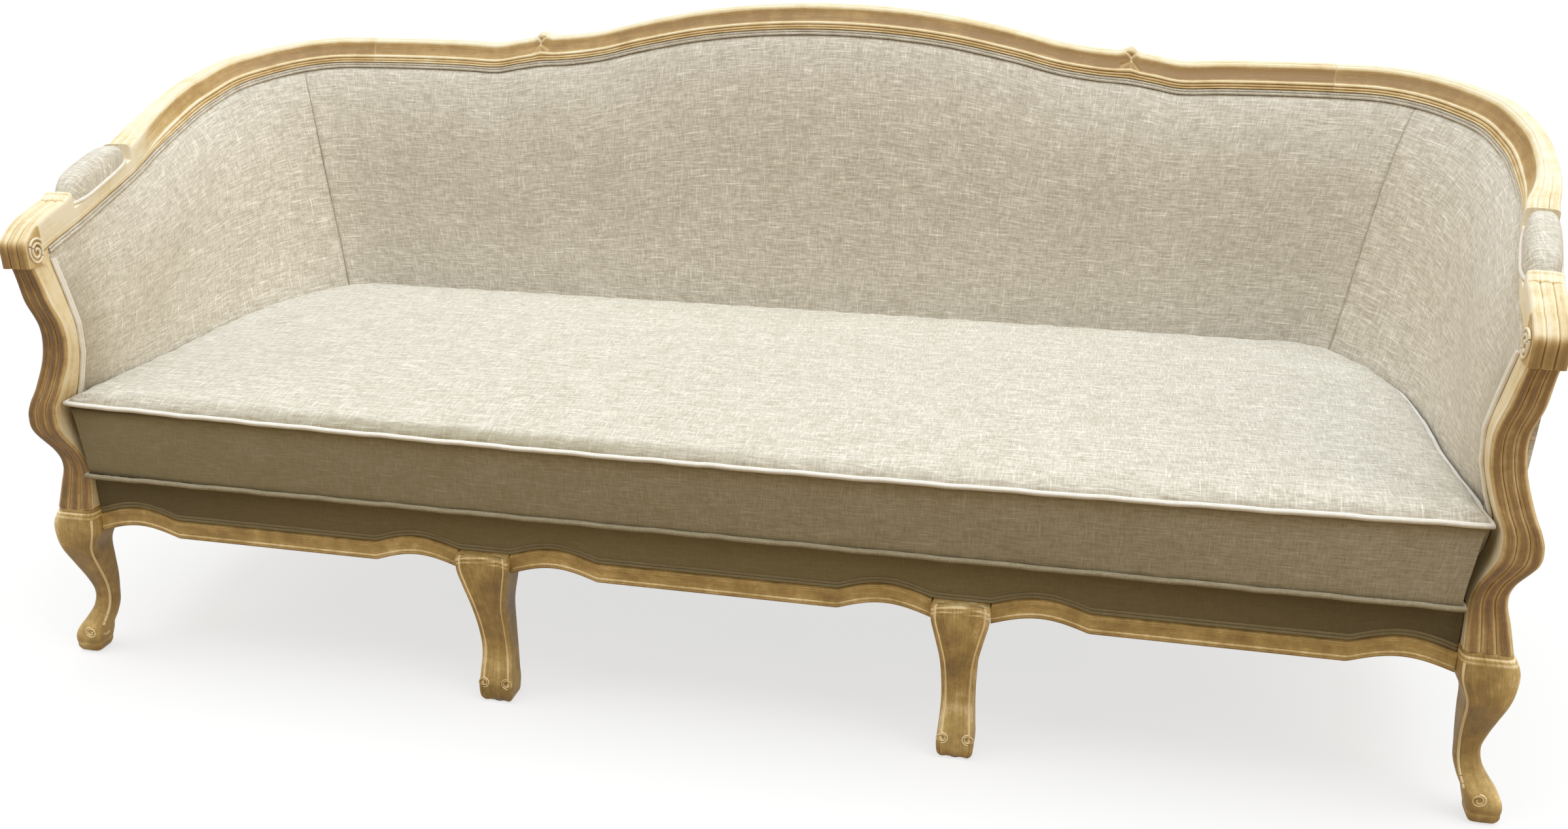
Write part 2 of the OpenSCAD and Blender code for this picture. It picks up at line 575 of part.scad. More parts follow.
// At the arm's end the panel stops just behind the bowed back of the post
function panel_pt(t, v, n, at_post) = let (p = wall_pt(t, v, n))
    at_post ? [p.x, post_back(p.z) + fit, p.z] : p;

// Pad levels: up to 1 they are shares of the height below the welt, above it the top
pad_low_level = -(seat_h - deck_bottom) / (seat_h - rail_top - fit);
pad_levels = [pad_low_level, -0.2, 0, 0.1, 0.24, 0.42, 0.62, 0.8, 0.92, 1, 1.1, 2];
pad_level = function (t, v) v <= 0 ? v : v <= 1 ? v * welt_v(t) : v < 2 ? welt_v(t) + 0.002 : 1;
pad_in = function (t, v) pad_face(t, v);
pad_out = function (t, v) pad_back_at(t, v);
wall_side_stops = concat([seam_stop + stop_gap * 2], side_stops, [post_stop]);

module back_pad() {
    color(linen) wall_panel(mirrored(back_stops), pad_levels, pad_in, pad_out, level = pad_level);
}
module side_pad() {
    wall_panel(wall_side_stops, pad_levels, pad_in, pad_out, true, pad_level);
}
module side_pad_right() { color(linen) side_pad(); }
module side_pad_left() { color(linen) mirror([1, 0, 0]) side_pad(); }

cover_levels = [-(seat_h - leg_h - band_h) / (seat_h - rail_top), 0, 0.33, 0.66, 1];
cover_in = function (t, v) wall_out(t, v) - cover_t;
cover_out = function (t, v) wall_out(t, v);
module outer_back_cover() {
    color(linen_shade) wall_panel(mirrored(back_stops), cover_levels, cover_in, cover_out);
}
module outer_side_cover() {
    wall_panel(wall_side_stops, cover_levels, cover_in, cover_out, true);
}
module outer_side_cover_right() { color(linen_shade) outer_side_cover(); }
module outer_side_cover_left() { color(linen_shade) mirror([1, 0, 0]) outer_side_cover(); }

web_t = 1.6;
web_gap = 0.4;
upright_in = function (t, v) pad_back_at(t, v) + web_t + 3 * web_gap;
upright_clear = 2;
upright_out = function (t, v) wall_out(t, v) - cover_t - upright_clear;
upright_levels = [-1, 0, 0.33, 0.66, 1];
back_upright_stops = [2.6, 9.9];
side_upright_stops = [16, 19];
upright_half = 0.24;
module upright(t, half) {
    wall_panel([t - half, t, t + half], upright_levels, upright_in, upright_out);
}
module back_uprights() {
    color(beech) both_sides() for (t = back_upright_stops) upright(t, upright_half);
}
module side_uprights() {
    color(beech) both_sides() for (t = side_upright_stops) upright(t, upright_half);
}

stretcher_levels = [0.04, 0.16];
stretcher_step = 4;
stretcher_in = function (t, v) upright_in(t, v) + stretcher_step;
stretcher_out = function (t, v) upright_out(t, v) - stretcher_step;
module back_stretchers() {
    a = back_upright_stops[0];
    b = back_upright_stops[1];
    h = upright_half + stop_gap;
    color(beech) {
        wall_panel([for (i = [-3:3]) (a - h) * i / 3], stretcher_levels, stretcher_in, stretcher_out);
        both_sides() wall_panel([for (i = [0:3]) mix(a + h, b - h, i / 3)], stretcher_levels,
            stretcher_in, stretcher_out);
    }
}

web_levels = [[0.08, 0.2], [0.38, 0.5], [0.68, 0.8]];
web_in = function (t, v) pad_back_at(t, v) + web_gap;
web_out = function (t, v) pad_back_at(t, v) + web_gap + web_t;
module back_webbing() {
    ts = mirrored(concat([0, 1, 2, 3, 4, 5, 6, 7, 8, 9], [back_upright_stops[1] + upright_half]));
    color([0.7, 0.62, 0.48]) for (pair = web_levels) wall_panel(ts, pair, web_in, web_out);
}

// Double welts: two cords side by side in one sewn strip

welt_section_shares = [[0.45, -1], [0.45, 1], [-0.35, 0.88], [-0.5, 0.5], [-0.22, 0],
    [-0.5, -0.5], [-0.35, -0.88]];
back_welt_n = 1;
// The strip hangs just under the rail's inner edge and stops above the posts
module back_welt() {
    stops = mirrored(concat(back_stops, side_stops, [post_stop - 0.05]));
    color(linen) skin([for (t = stops) let (p = rail_at(t), o = outward(t),
        w = ramp(abs(t), bow_stop, post_stop),
        x = sign(t) * w * (post_edge(p.z, 1) + post_step - rail_at(post_stop).x))
        [for (s = welt_section_shares) let (n = welt_d * (s.x + 0.5) + back_welt_n)
            [p.x + o.x * n + x, p.y + o.y * n, p.z - top_gap - welt_d * (1 - s.y)]]]);
}

// A strip down each post's inner back edge, from the rail's welt to the deck
post_welt_from = rail_at(post_stop).z - 3 * welt_d;
module post_welt() {
    zs = [for (i = [0:12]) mix(deck_top + welt_d, post_welt_from, i / 12)];
    skin([for (z = zs) let (x = post_edge(z, 1), y = post_back(z))
        [for (s = welt_section_shares) [x - fit / 2 - welt_d * (s.x * 0.6 + 0.5),
            y - welt_d * (s.y - 0.2), z]]]);
}
module post_welts() {
    color(linen) {
        mirror([1, 0, 0]) post_welt();
        post_welt();
    }
}

// Deck: springs, padding, cloth and the border over the front rail

spring_x = 0.7 * inner_half;
spring_front = tack_y + seat_rail_t * 0.4;
spring_back = rear_rail_y - seat_rail_t * 0.4;
spring_turns = 8;
clip_w = 16;
clip_l = 14;
spring_reach = 22;
spring_z = rail_top + fit + wire_d / 2;
spring_lead = 30;
function spring_pts(x) = [[x, spring_front], [x, spring_front + clip_l],
    for (k = [0:spring_turns - 1])
        let (y0 = mix(spring_front + spring_lead, spring_back - spring_lead, k / spring_turns),
            y1 = mix(spring_front + spring_lead, spring_back - spring_lead,
                (k + 0.8) / spring_turns),
            s = (k % 2 == 0 ? 1 : -1) * spring_reach) each [[x + s, y0], [x + s, y1]],
    [x, spring_back - clip_l], [x, spring_back]];
function wire_ring(p, a, b) = let (d = (b - a) / norm(b - a), r = wire_d / 2)
    [[p.x + d.y * r, p.y - d.x * r, spring_z], [p.x, p.y, spring_z - r],
        [p.x - d.y * r, p.y + d.x * r, spring_z], [p.x, p.y, spring_z + r]];
module seat_springs() {
    color(steel) for (i = [0:spring_count - 1]) {
        pts = spring_pts(mix(-spring_x, spring_x, i / (spring_count - 1)));
        n = len(pts) - 1;
        skin([for (k = [0:n]) wire_ring(pts[k], pts[max(0, k - 1)], pts[min(n, k + 1)])]);
    }
}
module spring_clips() {
    color(steel) for (i = [0:spring_count - 1], y = [spring_front, spring_back])
        translate([mix(-spring_x, spring_x, i / (spring_count - 1)), y, 0]) difference() {
            between_z(rail_top, spring_z + wire_d / 2 + clip_t) square([clip_w, clip_l], center = true);
            between_z(rail_top - overrun, spring_z + wire_d / 2 + fit / 2)
                square([wire_d * 1.6, clip_l + overrun], center = true);
        }
}

back_seam_line = front_y + seat_run - seam_gap;
deck_side = [for (t = concat([seam_stop], side_stops)) wall_pt(t, -1, -seam_gap)];
deck_end_x = post_edge(rail_top, 1) - 2 * seam_gap;
deck_half = concat([[seat_line(11, 0).x, back_seam_line], [seat_line(12, 0).x,
    min(back_seam_line, seat_line(12, 0).y - seam_gap)]], [for (p = deck_side) [p.x, p.y]],
    [[deck_end_x, front_y + post_back_low], [deck_end_x, tack_y]]);
deck_outline = concat(deck_half, [for (i = [len(deck_half) - 1:-1:0]) [-deck_half[i].x,
    deck_half[i].y]]);
module deck_pad() {
    color(foam) between_z(deck_bottom, deck_top - cloth_t) polygon(deck_outline);
}
module deck_cloth() {
    color(linen_shade) between_z(deck_top - cloth_t, deck_top) polygon(deck_outline);
}

// The border is the padded strip of cover between the front rail's band and the deck
border_t = 9;
border_half = post_edge(deck_top - band_h, 1) - seam_gap;
function band_top(x) = let (ax = abs(x))
    ax > bays[2][0] && ax < bays[2][1] ? bay_low(bays[2], ax) + band_h
    : ax < bays[1][1] ? bay_low(bays[1], x) + band_h : leg_h + band_h;
border_xs = concat([-border_half], bay_xs(bays[0]), bay_xs(bays[1]), bay_xs(bays[2]),
    [border_half]);
module deck_border() {
    color(linen_shade) between_y(tack_y - border_t - fit, tack_y - fit)
        polygon(concat([for (x = border_xs) if (abs(x) <= border_half)
            [x, band_top(x) + welt_d * 2 + 2 * fit]],
            [[border_half, deck_top], [-border_half, deck_top]]));
}
module deck_welt() {
    color(linen) skin([for (x = border_xs) if (abs(x) <= border_half)
        let (z = band_top(x) + welt_d + fit) [for (s = welt_section_shares)
            [x, tack_y - border_t / 2 - fit + welt_d * s.x, z + welt_d * s.y]]]);
}

// Dust cover: a cloth stapled inside the seat frame from below
dust_t = 1;
module dust_cover() {
    side = [for (t = concat([11, 12, seam_stop], side_stops)) seat_line(t, rail_in(t) - fit)];
    z = leg_h + band_h - dust_t - fit;
    color(felt) difference() {
        between_z(z, z + dust_t) polygon(concat(side, [[side_rail_x - fit, rail_back_y + fit],
            [-side_rail_x + fit, rail_back_y + fit]],
            [for (i = [len(side) - 1:-1:0]) [-side[i].x, side[i].y]]));
        both_sides() between_z(z - overrun, z + dust_t + overrun)
            translate([mid_leg_x - rear_leg_w / 2 - fit, rear_rail_y - rear_leg_w])
            square([rear_leg_w + 2 * fit, rear_leg_w]);
    }
}

// Arm pads: small ovals of cover over the middle of each arm rail

arm_pad_shares = [[-0.08, 0], [1.08, 0], [1.16, 0.3], [1.06, 0.66], [0.78, 0.92], [0.5, 1],
    [0.22, 0.92], [-0.06, 0.66], [-0.16, 0.3]];
module arm_pad() {
    rings = 12;
    gap = pad_step * 3;
    skin([for (i = [0:rings]) let (s = i / rings, t = mix(pad_rear + gap, pad_front - gap, s),
        e = 0.55 + 0.45 * pow(sin(180 * limit(0.04 + 0.92 * s)), 0.5), p = rail_at(t), o = outward(t),
        w = rail_w(t))
        [for (q = arm_pad_shares) let (n = w * (0.5 + (q.x - 0.5) * mix(0.86, 1, e)))
            [p.x + o.x * n, p.y + o.y * n, p.z + pad_seat_h + fit + arm_pad_h * q.y * e]]]);
}
module arm_pad_right() { color(linen) arm_pad(); }
module arm_pad_left() { color(linen) mirror([1, 0, 0]) arm_pad(); }

// Bench cushion

post_clear = 2;
wall_clear = 3.5;
ear_x = post_edge(seat_h, 1) - 2 * piping_r - post_clear;
case_gap = 2 * piping_r + wall_clear;
side_in = 4.5;
boxing_share = 0.996;
front_edge = 31;
front_bow = 12;
back_clear = 10;
bottom_in = 15;
case_t = 2;
// Half of the seam line, from the front middle round to the back middle
front_shares = [0, 0.28, 0.56, 0.8, 0.93, 0.985];
cushion_stops = [24, 23, 22.4, 21.6, 20.6, 19.4, 18.2, 17, 16, 15, 14, 13.3, 12.6, 12];
back_shares = [0.9, 0.66, 0.33, 0];
function front_seam(s) = [s * ear_x, front_y - front_edge];
function side_seam(t) = let (p = seat_line(t, -case_gap))
    [min(p.x, ear_x - side_in), min(p.y, back_seam)];
back_seam = front_y + seat_run - back_clear;
half_seam = concat([for (s = front_shares) front_seam(s)], [[ear_x, front_y - front_edge]],
    [for (t = cushion_stops) side_seam(t)],
    [for (s = back_shares) [s * side_seam(12).x, back_seam]]);
seam_line = concat(half_seam,
    [for (i = [len(half_seam) - 2:-1:1]) [-half_seam[i].x, half_seam[i].y]]);
mid_y = front_y + seat_run / 2;

// A ring of the cushion, by how far it is down the boxing (0 to 1), its share of the seam
// line, its height, the crown there and the thickness inside the seam. The sides draw in
// downwards and the front bows out upwards
function seam_ring(down, share, z, crown, inner) = [for (p = seam_line)
    let (side = abs(p.x) > 0.9 * ear_x ? sign(p.x) : 0,
        x = (p.x - side * (bottom_in * down + inner)) * share,
        bow = p.y < front_y ? front_bow * (1 - down) * (1 - pow(p.x / ear_x, 2)) : 0,
        y = mid_y + (p.y - bow - mid_y - sign(p.y - mid_y) * inner) * share)
    [x, y, z + crown * crown_at(x, y)]];
function crown_at(x, y) = (1 - pow(limit(abs(x) / ear_x), 5))
    * (1 - pow(limit(abs(y - mid_y) / (seat_run / 2 + front_edge)), 4));
cushion_low = deck_top + fit + piping_r * 0.4;
module cushion_solid(inset) {
    c = crown_h - inset / 2;
    skin([
        seam_ring(1, 0.97, cushion_low + inset, 0, inset),
        seam_ring(1, 1, cushion_low + inset + piping_r / 2, 0, inset),
        seam_ring(0.65, boxing_share, mix(cushion_low, seat_h, 0.35), 0, inset),
        seam_ring(0.35, boxing_share, mix(cushion_low, seat_h, 0.65), 0, inset),
        seam_ring(0, 1, seat_h - inset, 0, inset),
        seam_ring(0, 0.985, seat_h - inset + piping_r / 2, c, inset),
        seam_ring(0, 0.94, seat_h - inset, c, inset),
        seam_ring(0, 0.85, seat_h - inset, c, inset),
        seam_ring(0, 0.65, seat_h - inset, c, inset),
        seam_ring(0, 0.4, seat_h - inset, c, inset),
        [for (p = seam_ring(0, 0.12, 0, 0, inset)) [p.x, p.y, seat_h - inset + c]]]);
}
module cushion_case() {
    color(linen) difference() {
        cushion_solid(0);
        cushion_solid(case_t);
        // The slot that the zip closes
        between_y(zip_y - 3 * case_t, zip_y + overrun)
            translate([-zip_run / 2, zip_z - zip_chain_h / 2]) square([zip_run, zip_chain_h]);
    }
}
module cushion_core() { color(foam) cushion_solid(case_t + fit); }

// Piping: a cord sewn into each seam, as a tube of six sides round the seam line
module piping(down, z) {
    n = len(seam_line);
    ring = seam_ring(down, 1, z, 0, 0);
    tube = [for (i = [0:n - 1]) let (a = ring[(i + n - 1) % n], b = ring[(i + 1) % n],
        d = [b.y - a.y, a.x - b.x] / norm([b.x - a.x, b.y - a.y]))
        [for (k = [0:5]) let (c = cos(60 * k), s = sin(60 * k))
            [ring[i].x + d.x * (piping_r * (c + 1) + fit / 2),
                ring[i].y + d.y * (piping_r * (c + 1) + fit / 2), z + piping_r * s]]];
    sides = [for (i = [0:n - 1], j = [0:5]) let (i2 = (i + 1) % n, j2 = (j + 1) % 6,
        a = i * 6 + j, b = i * 6 + j2, c = i2 * 6 + j, e = i2 * 6 + j2) each [[a, b, e], [a, e, c]]];
    polyhedron([for (r = tube) each r], sides, convexity = 8);
}
module cushion_piping_top() { color(linen) piping(0, seat_h); }
module cushion_piping_bottom() { color(linen) piping(1, deck_top + fit + piping_r); }

// Zip along the back boxing, and its slider with a flat pull
zip_z = mix(cushion_low, seat_h, 0.5);
zip_tape_h = 24;
zip_tape_t = 1;
zip_chain_h = 5;
zip_chain_t = 1.6;
slider_l = 12;
slider_w = 9;
slider_t = 3.4;
pull_l = 18;
pull_t = 1.2;
zip_y = mix(mid_y, back_seam, boxing_share) + fit;
module cushion_zip() {
    color([0.72, 0.66, 0.55]) {
        between_y(zip_y, zip_y + zip_tape_t) translate([-zip_run / 2 - slider_l, zip_z - zip_tape_h / 2])
            square([zip_run + 2 * slider_l, zip_tape_h]);
        between_y(zip_y + zip_tape_t, zip_y + zip_tape_t + zip_chain_t)
            translate([-zip_run / 2 - slider_l, zip_z - zip_chain_h / 2])
            square([zip_run + 2 * slider_l, zip_chain_h]);
    }
}
module zip_slider() {
    y0 = zip_y + zip_tape_t + fit;
    color(steel) translate([zip_run / 2, 0, 0]) {
        difference() {
            between_y(y0, y0 + slider_t) translate([-slider_l / 2, zip_z - slider_w / 2])
                square([slider_l, slider_w]);
            between_y(y0 - overrun, y0 + zip_chain_t + fit)
                translate([-slider_l, zip_z - zip_chain_h / 2 - fit])
                square([2 * slider_l, zip_chain_h + 2 * fit]);
        }
        between_y(y0 + slider_t, y0 + slider_t + pull_t)
            translate([-slider_w / 3, zip_z - pull_l]) square([slider_w * 0.66, pull_l]);
    }
}

crest_rail();
wing_rail_left();
wing_rail_right();
arm_rail_left();
arm_rail_right();
arm_post_left();
arm_post_right();
front_corner_leg_left();
front_corner_leg_right();
front_mid_leg_left();
front_mid_leg_right();
rear_corner_leg_left();
rear_corner_leg_right();
rear_mid_leg_left();
rear_mid_leg_right();
foot_glides();
front_rail_left();
front_rail_center();
front_rail_right();
side_seat_rail_left();
side_seat_rail_right();
rear_seat_rails();
seat_cross_rails();
corner_blocks();
block_screws();
frame_dowels();
back_uprights();
side_uprights();
back_stretchers();
back_webbing();
seat_springs();
spring_clips();
deck_pad();
deck_cloth();
deck_border();
deck_welt();
dust_cover();
back_pad();
side_pad_left();
side_pad_right();
back_welt();
post_welts();
outer_back_cover();
outer_side_cover_left();
outer_side_cover_right();
arm_pad_left();
arm_pad_right();
cushion_case();
cushion_core();
cushion_piping_top();
cushion_piping_bottom();
cushion_zip();
zip_slider();
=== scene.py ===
"""Cabriole sofa in limed oak and slubby linen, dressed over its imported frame.

Sizes are in millimetres until a mesh is made; the object's own frame is in metres.
"""
import math

import bmesh
import bpy
import numpy as np
from mathutils import Matrix, Vector


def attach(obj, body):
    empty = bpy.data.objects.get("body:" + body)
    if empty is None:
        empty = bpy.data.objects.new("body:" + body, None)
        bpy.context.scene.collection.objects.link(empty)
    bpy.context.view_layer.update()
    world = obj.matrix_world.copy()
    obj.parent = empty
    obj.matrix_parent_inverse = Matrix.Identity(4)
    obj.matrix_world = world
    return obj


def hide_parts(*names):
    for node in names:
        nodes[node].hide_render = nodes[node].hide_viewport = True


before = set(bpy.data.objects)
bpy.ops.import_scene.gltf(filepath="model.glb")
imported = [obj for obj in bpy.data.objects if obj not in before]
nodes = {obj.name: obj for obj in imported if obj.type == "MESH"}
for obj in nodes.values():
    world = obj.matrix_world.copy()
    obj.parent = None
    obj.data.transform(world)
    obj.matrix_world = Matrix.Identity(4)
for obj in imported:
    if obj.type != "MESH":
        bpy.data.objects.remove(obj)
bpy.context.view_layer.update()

# ---- Camera
# A phone camera held at chest height, a little to the right of the middle and turned
# to the left, recovered from the sofa's own left and right symmetry.
PHOTO_W, FOCAL_PX, SENSOR_MM = 2397, 2200.0, 36.0
EYE = (0.510087, -2.274937, 1.262095)
YAW, PITCH, ROLL = (math.radians(a) for a in (12.196, 20.6645, -0.144))


def sight_axes(yaw, pitch, roll):
    """Right, down and forward unit vectors of a camera that looks along +Y when unturned."""
    ahead = np.array([-math.sin(yaw) * math.cos(pitch), math.cos(yaw) * math.cos(pitch),
                      -math.sin(pitch)])
    right = np.array([math.cos(yaw), math.sin(yaw), 0.0])
    down = np.cross(ahead, right)
    return (math.cos(roll) * right + math.sin(roll) * down,
            -math.sin(roll) * right + math.cos(roll) * down, ahead)


right, down, ahead = sight_axes(YAW, PITCH, ROLL)
lens = bpy.data.cameras.new("photo_camera")
lens.sensor_fit = "HORIZONTAL"
lens.sensor_width = SENSOR_MM
lens.lens = SENSOR_MM * FOCAL_PX / PHOTO_W
lens.clip_start, lens.clip_end = 0.05, 60.0
camera = bpy.data.objects.new("photo_camera", lens)
bpy.context.collection.objects.link(camera)
turn = Matrix([[right[k], -down[k], -ahead[k], EYE[k]] for k in range(3)] + [[0, 0, 0, 1]])
camera.matrix_world = turn
bpy.context.scene.camera = camera

# ---- The wall line and the rails of show wood
# The crest, wing and arm rails are band-sawn and spindle-moulded oak, carved by hand at the
# two ears and the cuffs, glued end to end. Every other piece of the sofa follows their line.
SOFA_W, SOFA_D, SOFA_H, ARM_H, SEAT_H, LEG_H = 2392, 926, 1033, 745, 474, 241
CREST_T, CREST_RAIL_H, ARM_T, ARM_RAIL_H, EAR_H, CUFF_H = 50, 43, 45, 46, 9, 5
FIT = 0.3  # the clear gap between neighbouring pieces
BLOCK_LEAD, BACK_LEAN = 64, 112  # how far the arm's block and the back reach past the seat
FRONT_Y = BLOCK_LEAD - SOFA_D / 2
INNER_HALF = SOFA_W / 2 - CREST_T
RUN = SOFA_D - BLOCK_LEAD - CREST_T
SEAT_RUN = RUN - BACK_LEAN
CREST_LOW, ARM_LOW = SOFA_H - CREST_RAIL_H, ARM_H - ARM_RAIL_H
# One row per stop from the middle of the back to the arm's end: shares for the rail's lower
# inner edge (x, y, z) and for the seat line (x, y)
wall_shares = np.array([
    [0, 1, 1, 0, 1], [.105, 1, .985, .094, 1], [.205, 1, .942, .185, 1], [.306, 1, .866, .277, 1],
    [.375, 1, .801, .34, 1], [.436, 1, .766, .396, 1], [.484, 1, .753, .44, 1],
    [.524, 1, .729, .476, 1], [.567, 1, .701, .515, 1], [.628, 1, .708, .571, 1],
    [.707, 1, .711, .641, 1], [.79, .994, .71, .716, 1], [.855, .972, .708, .777, .992],
    [.908, .937, .684, .818, .955], [.951, .887, .643, .851, .88], [.98, .828, .598, .875, .797],
    [.996, .757, .529, .894, .7], [1, .69, .474, .903, .607], [.997, .579, .381, .907, .5],
    [.988, .493, .323, .908, .414], [.976, .426, .285, .908, .35], [.965, .357, .247, .908, .286],
    [.943, .213, .182, .914, .157], [.93, .126, .141, .918, .086], [.915, -.012, .072, .921, .01],
    [.91, -.049, .031, .921, -.02], [.9085, -.0788, 0, .921, -.05]])
LAST_STOP = len(wall_shares) - 1
# Stops of the joints, of the arm pad's ends, of the pads' corner seams, of the posts, of the ears,
# and of the place where the crest's section turns into the arm's; the ears' slopes, in stops
CREST_END, ARM_JOINT, PAD_REAR, PAD_FRONT, BLOCK_STOP = 11, 20.6, 20.9, 23.2, 24.27
SEAM_STOP, POST_STOP, BOW_STOP, EAR_STOP, TURN_STOP = 12.9, 24, 20.5, 6.1, 17
EAR_RISE, EAR_FALL = 0.5, 0.36


def spline(a, b, c, d, u):
    """Catmull-Rom blend of four neighbouring rows at u between the middle two."""
    return 0.5 * (2 * b + (c - a) * u + (2 * a - 5 * b + 4 * c - d) * u ** 2
                  + (3 * b - a - 3 * c + d) * u ** 3)


def wall_rows(t):
    """Rows of wall_shares at any stops t; negative stops are the left half."""
    t = np.asarray(t, float)
    i = np.floor(t).astype(int)

    def row(k):
        """Row k of the table, with its widths mirrored for the left half."""
        r = wall_shares[np.minimum(np.abs(k), LAST_STOP)].copy()
        flip = np.where(k < 0, -1.0, 1.0)
        r[..., 0] *= flip
        r[..., 3] *= flip
        return r
    return spline(row(i - 1), row(i), row(i + 1), row(i + 2), (t - i)[..., None])


def ramp(x, a, b):
    """Smooth step from 0 at a to 1 at b."""
    s = np.clip((x - a) / (b - a), 0, 1)
    return s * s * (3 - 2 * s)


def bell(x, middle, width):
    """A bell curve over x: 1 at its middle, a third of that a width away."""
    return np.exp(-((x - middle) / width) ** 2)


def unit(rows):
    """The rows at length 1."""
    return rows / np.linalg.norm(rows, axis=-1, keepdims=True)


def points(x, y, z):
    """Points from three arrays of coordinates that stretch to one shape."""
    return np.stack(np.broadcast_arrays(x, y, z), -1)


def rail_at(t):
    """Lower inner edge of the rail at stops t."""
    s = wall_rows(t)
    return points(s[..., 0] * INNER_HALF, FRONT_Y + s[..., 1] * RUN,
                  ARM_LOW + (CREST_LOW - ARM_LOW) * s[..., 2])


def seat_at(t):
    """Seat line at stops t, in plan."""
    s = wall_rows(t)
    return np.stack([s[..., 3] * INNER_HALF, FRONT_Y + s[..., 4] * SEAT_RUN], -1)


def outward(t):
    """Way out of the wall in plan: square to the rail, turning to straight sideways at its end."""
    t = np.asarray(t, float)
    d = unit((rail_at(t + 0.02) - rail_at(t - 0.02))[..., :2])
    w = ramp(np.abs(t), 23.5, LAST_STOP - 1)
    return np.stack([-d[..., 1] + (np.sign(t) + d[..., 1]) * w, d[..., 0] * (1 - w)], -1)


def rail_w(t):
    """Thickness of the rail at stops t."""
    return CREST_T + (ARM_T - CREST_T) * ramp(np.abs(t), TURN_STOP, TURN_STOP + 3)


def rail_hgt(t):
    """Height of the rail at stops t."""
    return CREST_RAIL_H + (ARM_RAIL_H - CREST_RAIL_H) * ramp(np.abs(t), TURN_STOP - 3,
                                                             TURN_STOP + 3)


def resample(line, n, last=False):
    """n points evenly spaced along a polyline of rows; the last one is left out unless asked."""
    p = np.array(line, float)
    s = np.concatenate([[0], np.cumsum(np.linalg.norm(np.diff(p[:, :2], axis=0), axis=1) + 1e-6)])
    at = np.linspace(0, s[-1], n + (0 if last else 1))[:n]
    return np.stack([np.interp(at, s, p[:, k]) for k in range(p.shape[1])], -1)


def reeds(x0, x1, low, rise, wax, groove):
    """Rows of a face with three half-round reeds from x0 to x1, limed to wax on their crowns and
    fully on the grooves' edges, and to groove in the line down each groove."""
    s = np.linspace(0, 1, 13)
    rows = []
    for k in range(3):
        x = x0 + (x1 - x0) * (k + s) / 3
        bulge = np.sqrt(np.sin(np.pi * s).clip(0))
        rows += [[a, low + rise * b, wax + (1 - wax) * (1 - b) ** 0.7 if b > 0.2 else groove]
                 for a, b in zip(x, bulge)]
    return rows


# Rail sections in shares of depth and height, with how much lime wax stays in each place.
# Five stretches that match between crest and arm: bottom, outside, top, face, beads
crest_section = np.concatenate([
    resample([[.10, 0, .3], [.93, 0, .3]], 3),
    resample([[.93, 0, .3], [.985, .03, .4], [1, .09, .5], [1, .5, .3], [1, .9, .5],
              [.985, .965, .9], [.94, 1, .9]], 9),
    resample([[.94, 1, .85], [.62, 1, .85], [.575, .995, .9], [.56, .965, 1], [.545, .95, 1],
              [.50, .94, .8], [.455, .905, .75], [.43, .855, .8]], 36),
    resample([[.43, .855, .8], [.42, .82, .5], [.405, .78, .14], [.365, .68, .06],
              [.315, .575, .05], [.262, .48, .06], [.215, .40, .1], [.185, .345, .2],
              [.17, .315, .7]], 26),
    resample([[.17, .315, .6], [.16, .31, .8], [.14, .3, .8], [.115, .275, .75], [.104, .235, .7],
              [.11, .205, .5], [.13, .192, .1], [.128, .18, .1], [.088, .175, .4],
              [.058, .15, .46], [.046, .12, .46], [.052, .085, .3], [.064, .078, .1],
              [.03, .066, .6], [.006, .05, .65], [.004, .02, .5], [.03, 0, .3], [.10, 0, .3]], 32)])
arm_section = np.concatenate([
    resample([[.10, 0, .3], [.93, 0, .3]], 3),
    resample([[.93, 0, .3], [.985, .03, .4], [1, .09, .5], [1, .5, .4], [1, .89, .6]], 9),
    resample(reeds(1, .02, .92, .08, .5, .4), 36),
    resample([[.02, .92, 1], [.003, .84, .8], [0, .6, .75], [0, .35, .75], [.004, .25, .75],
              [.014, .2, .9]], 26),
    resample([[.014, .2, 1], [.006, .185, .7], [0, .15, .5], [.008, .115, .8], [.022, .1, 1],
              [.012, .09, .6], [.012, .04, .4], [.04, 0, .3], [.10, 0, .3]], 32)])
TOP_FROM, FACE_FROM, FACE_TO = 12, 48, 74  # the columns where the stretches begin


def hex_rgb(code):
    """An sRGB hex colour as linear RGB with alpha 1."""
    c = np.array([int(code[k:k + 2], 16) for k in (1, 3, 5)]) / 255
    c = np.where(c <= 0.04045, c / 12.92, ((c + 0.055) / 1.055) ** 2.4)
    return (*[float(v) for v in c], 1.0)


def add_node(tree, kind, inputs=None, stops=(), **settings):
    """One shader node with its settings. Inputs maps a socket's name or number to a value, or to
    the node or socket that feeds it; stops are a ramp's places and hex colours."""
    node = tree.nodes.new("ShaderNode" + kind)
    for key, value in settings.items():
        setattr(node, key, value)
    for k, (place, code) in enumerate(stops):
        marks = node.color_ramp.elements
        mark = marks[k] if k < 2 else marks.new(place)
        mark.position, mark.color = place, hex_rgb(code)
    for key, value in (inputs or {}).items():
        if isinstance(value, bpy.types.Node):
            value = value.outputs[0]
        if isinstance(value, bpy.types.NodeSocket):
            tree.links.new(value, node.inputs[key])
        else:
            node.inputs[key].default_value = value
    return node


def new_material(name):
    """An empty node material and its tree."""
    material = bpy.data.materials.new(name)
    material.use_nodes = True
    material.node_tree.nodes.clear()
    return material, material.node_tree


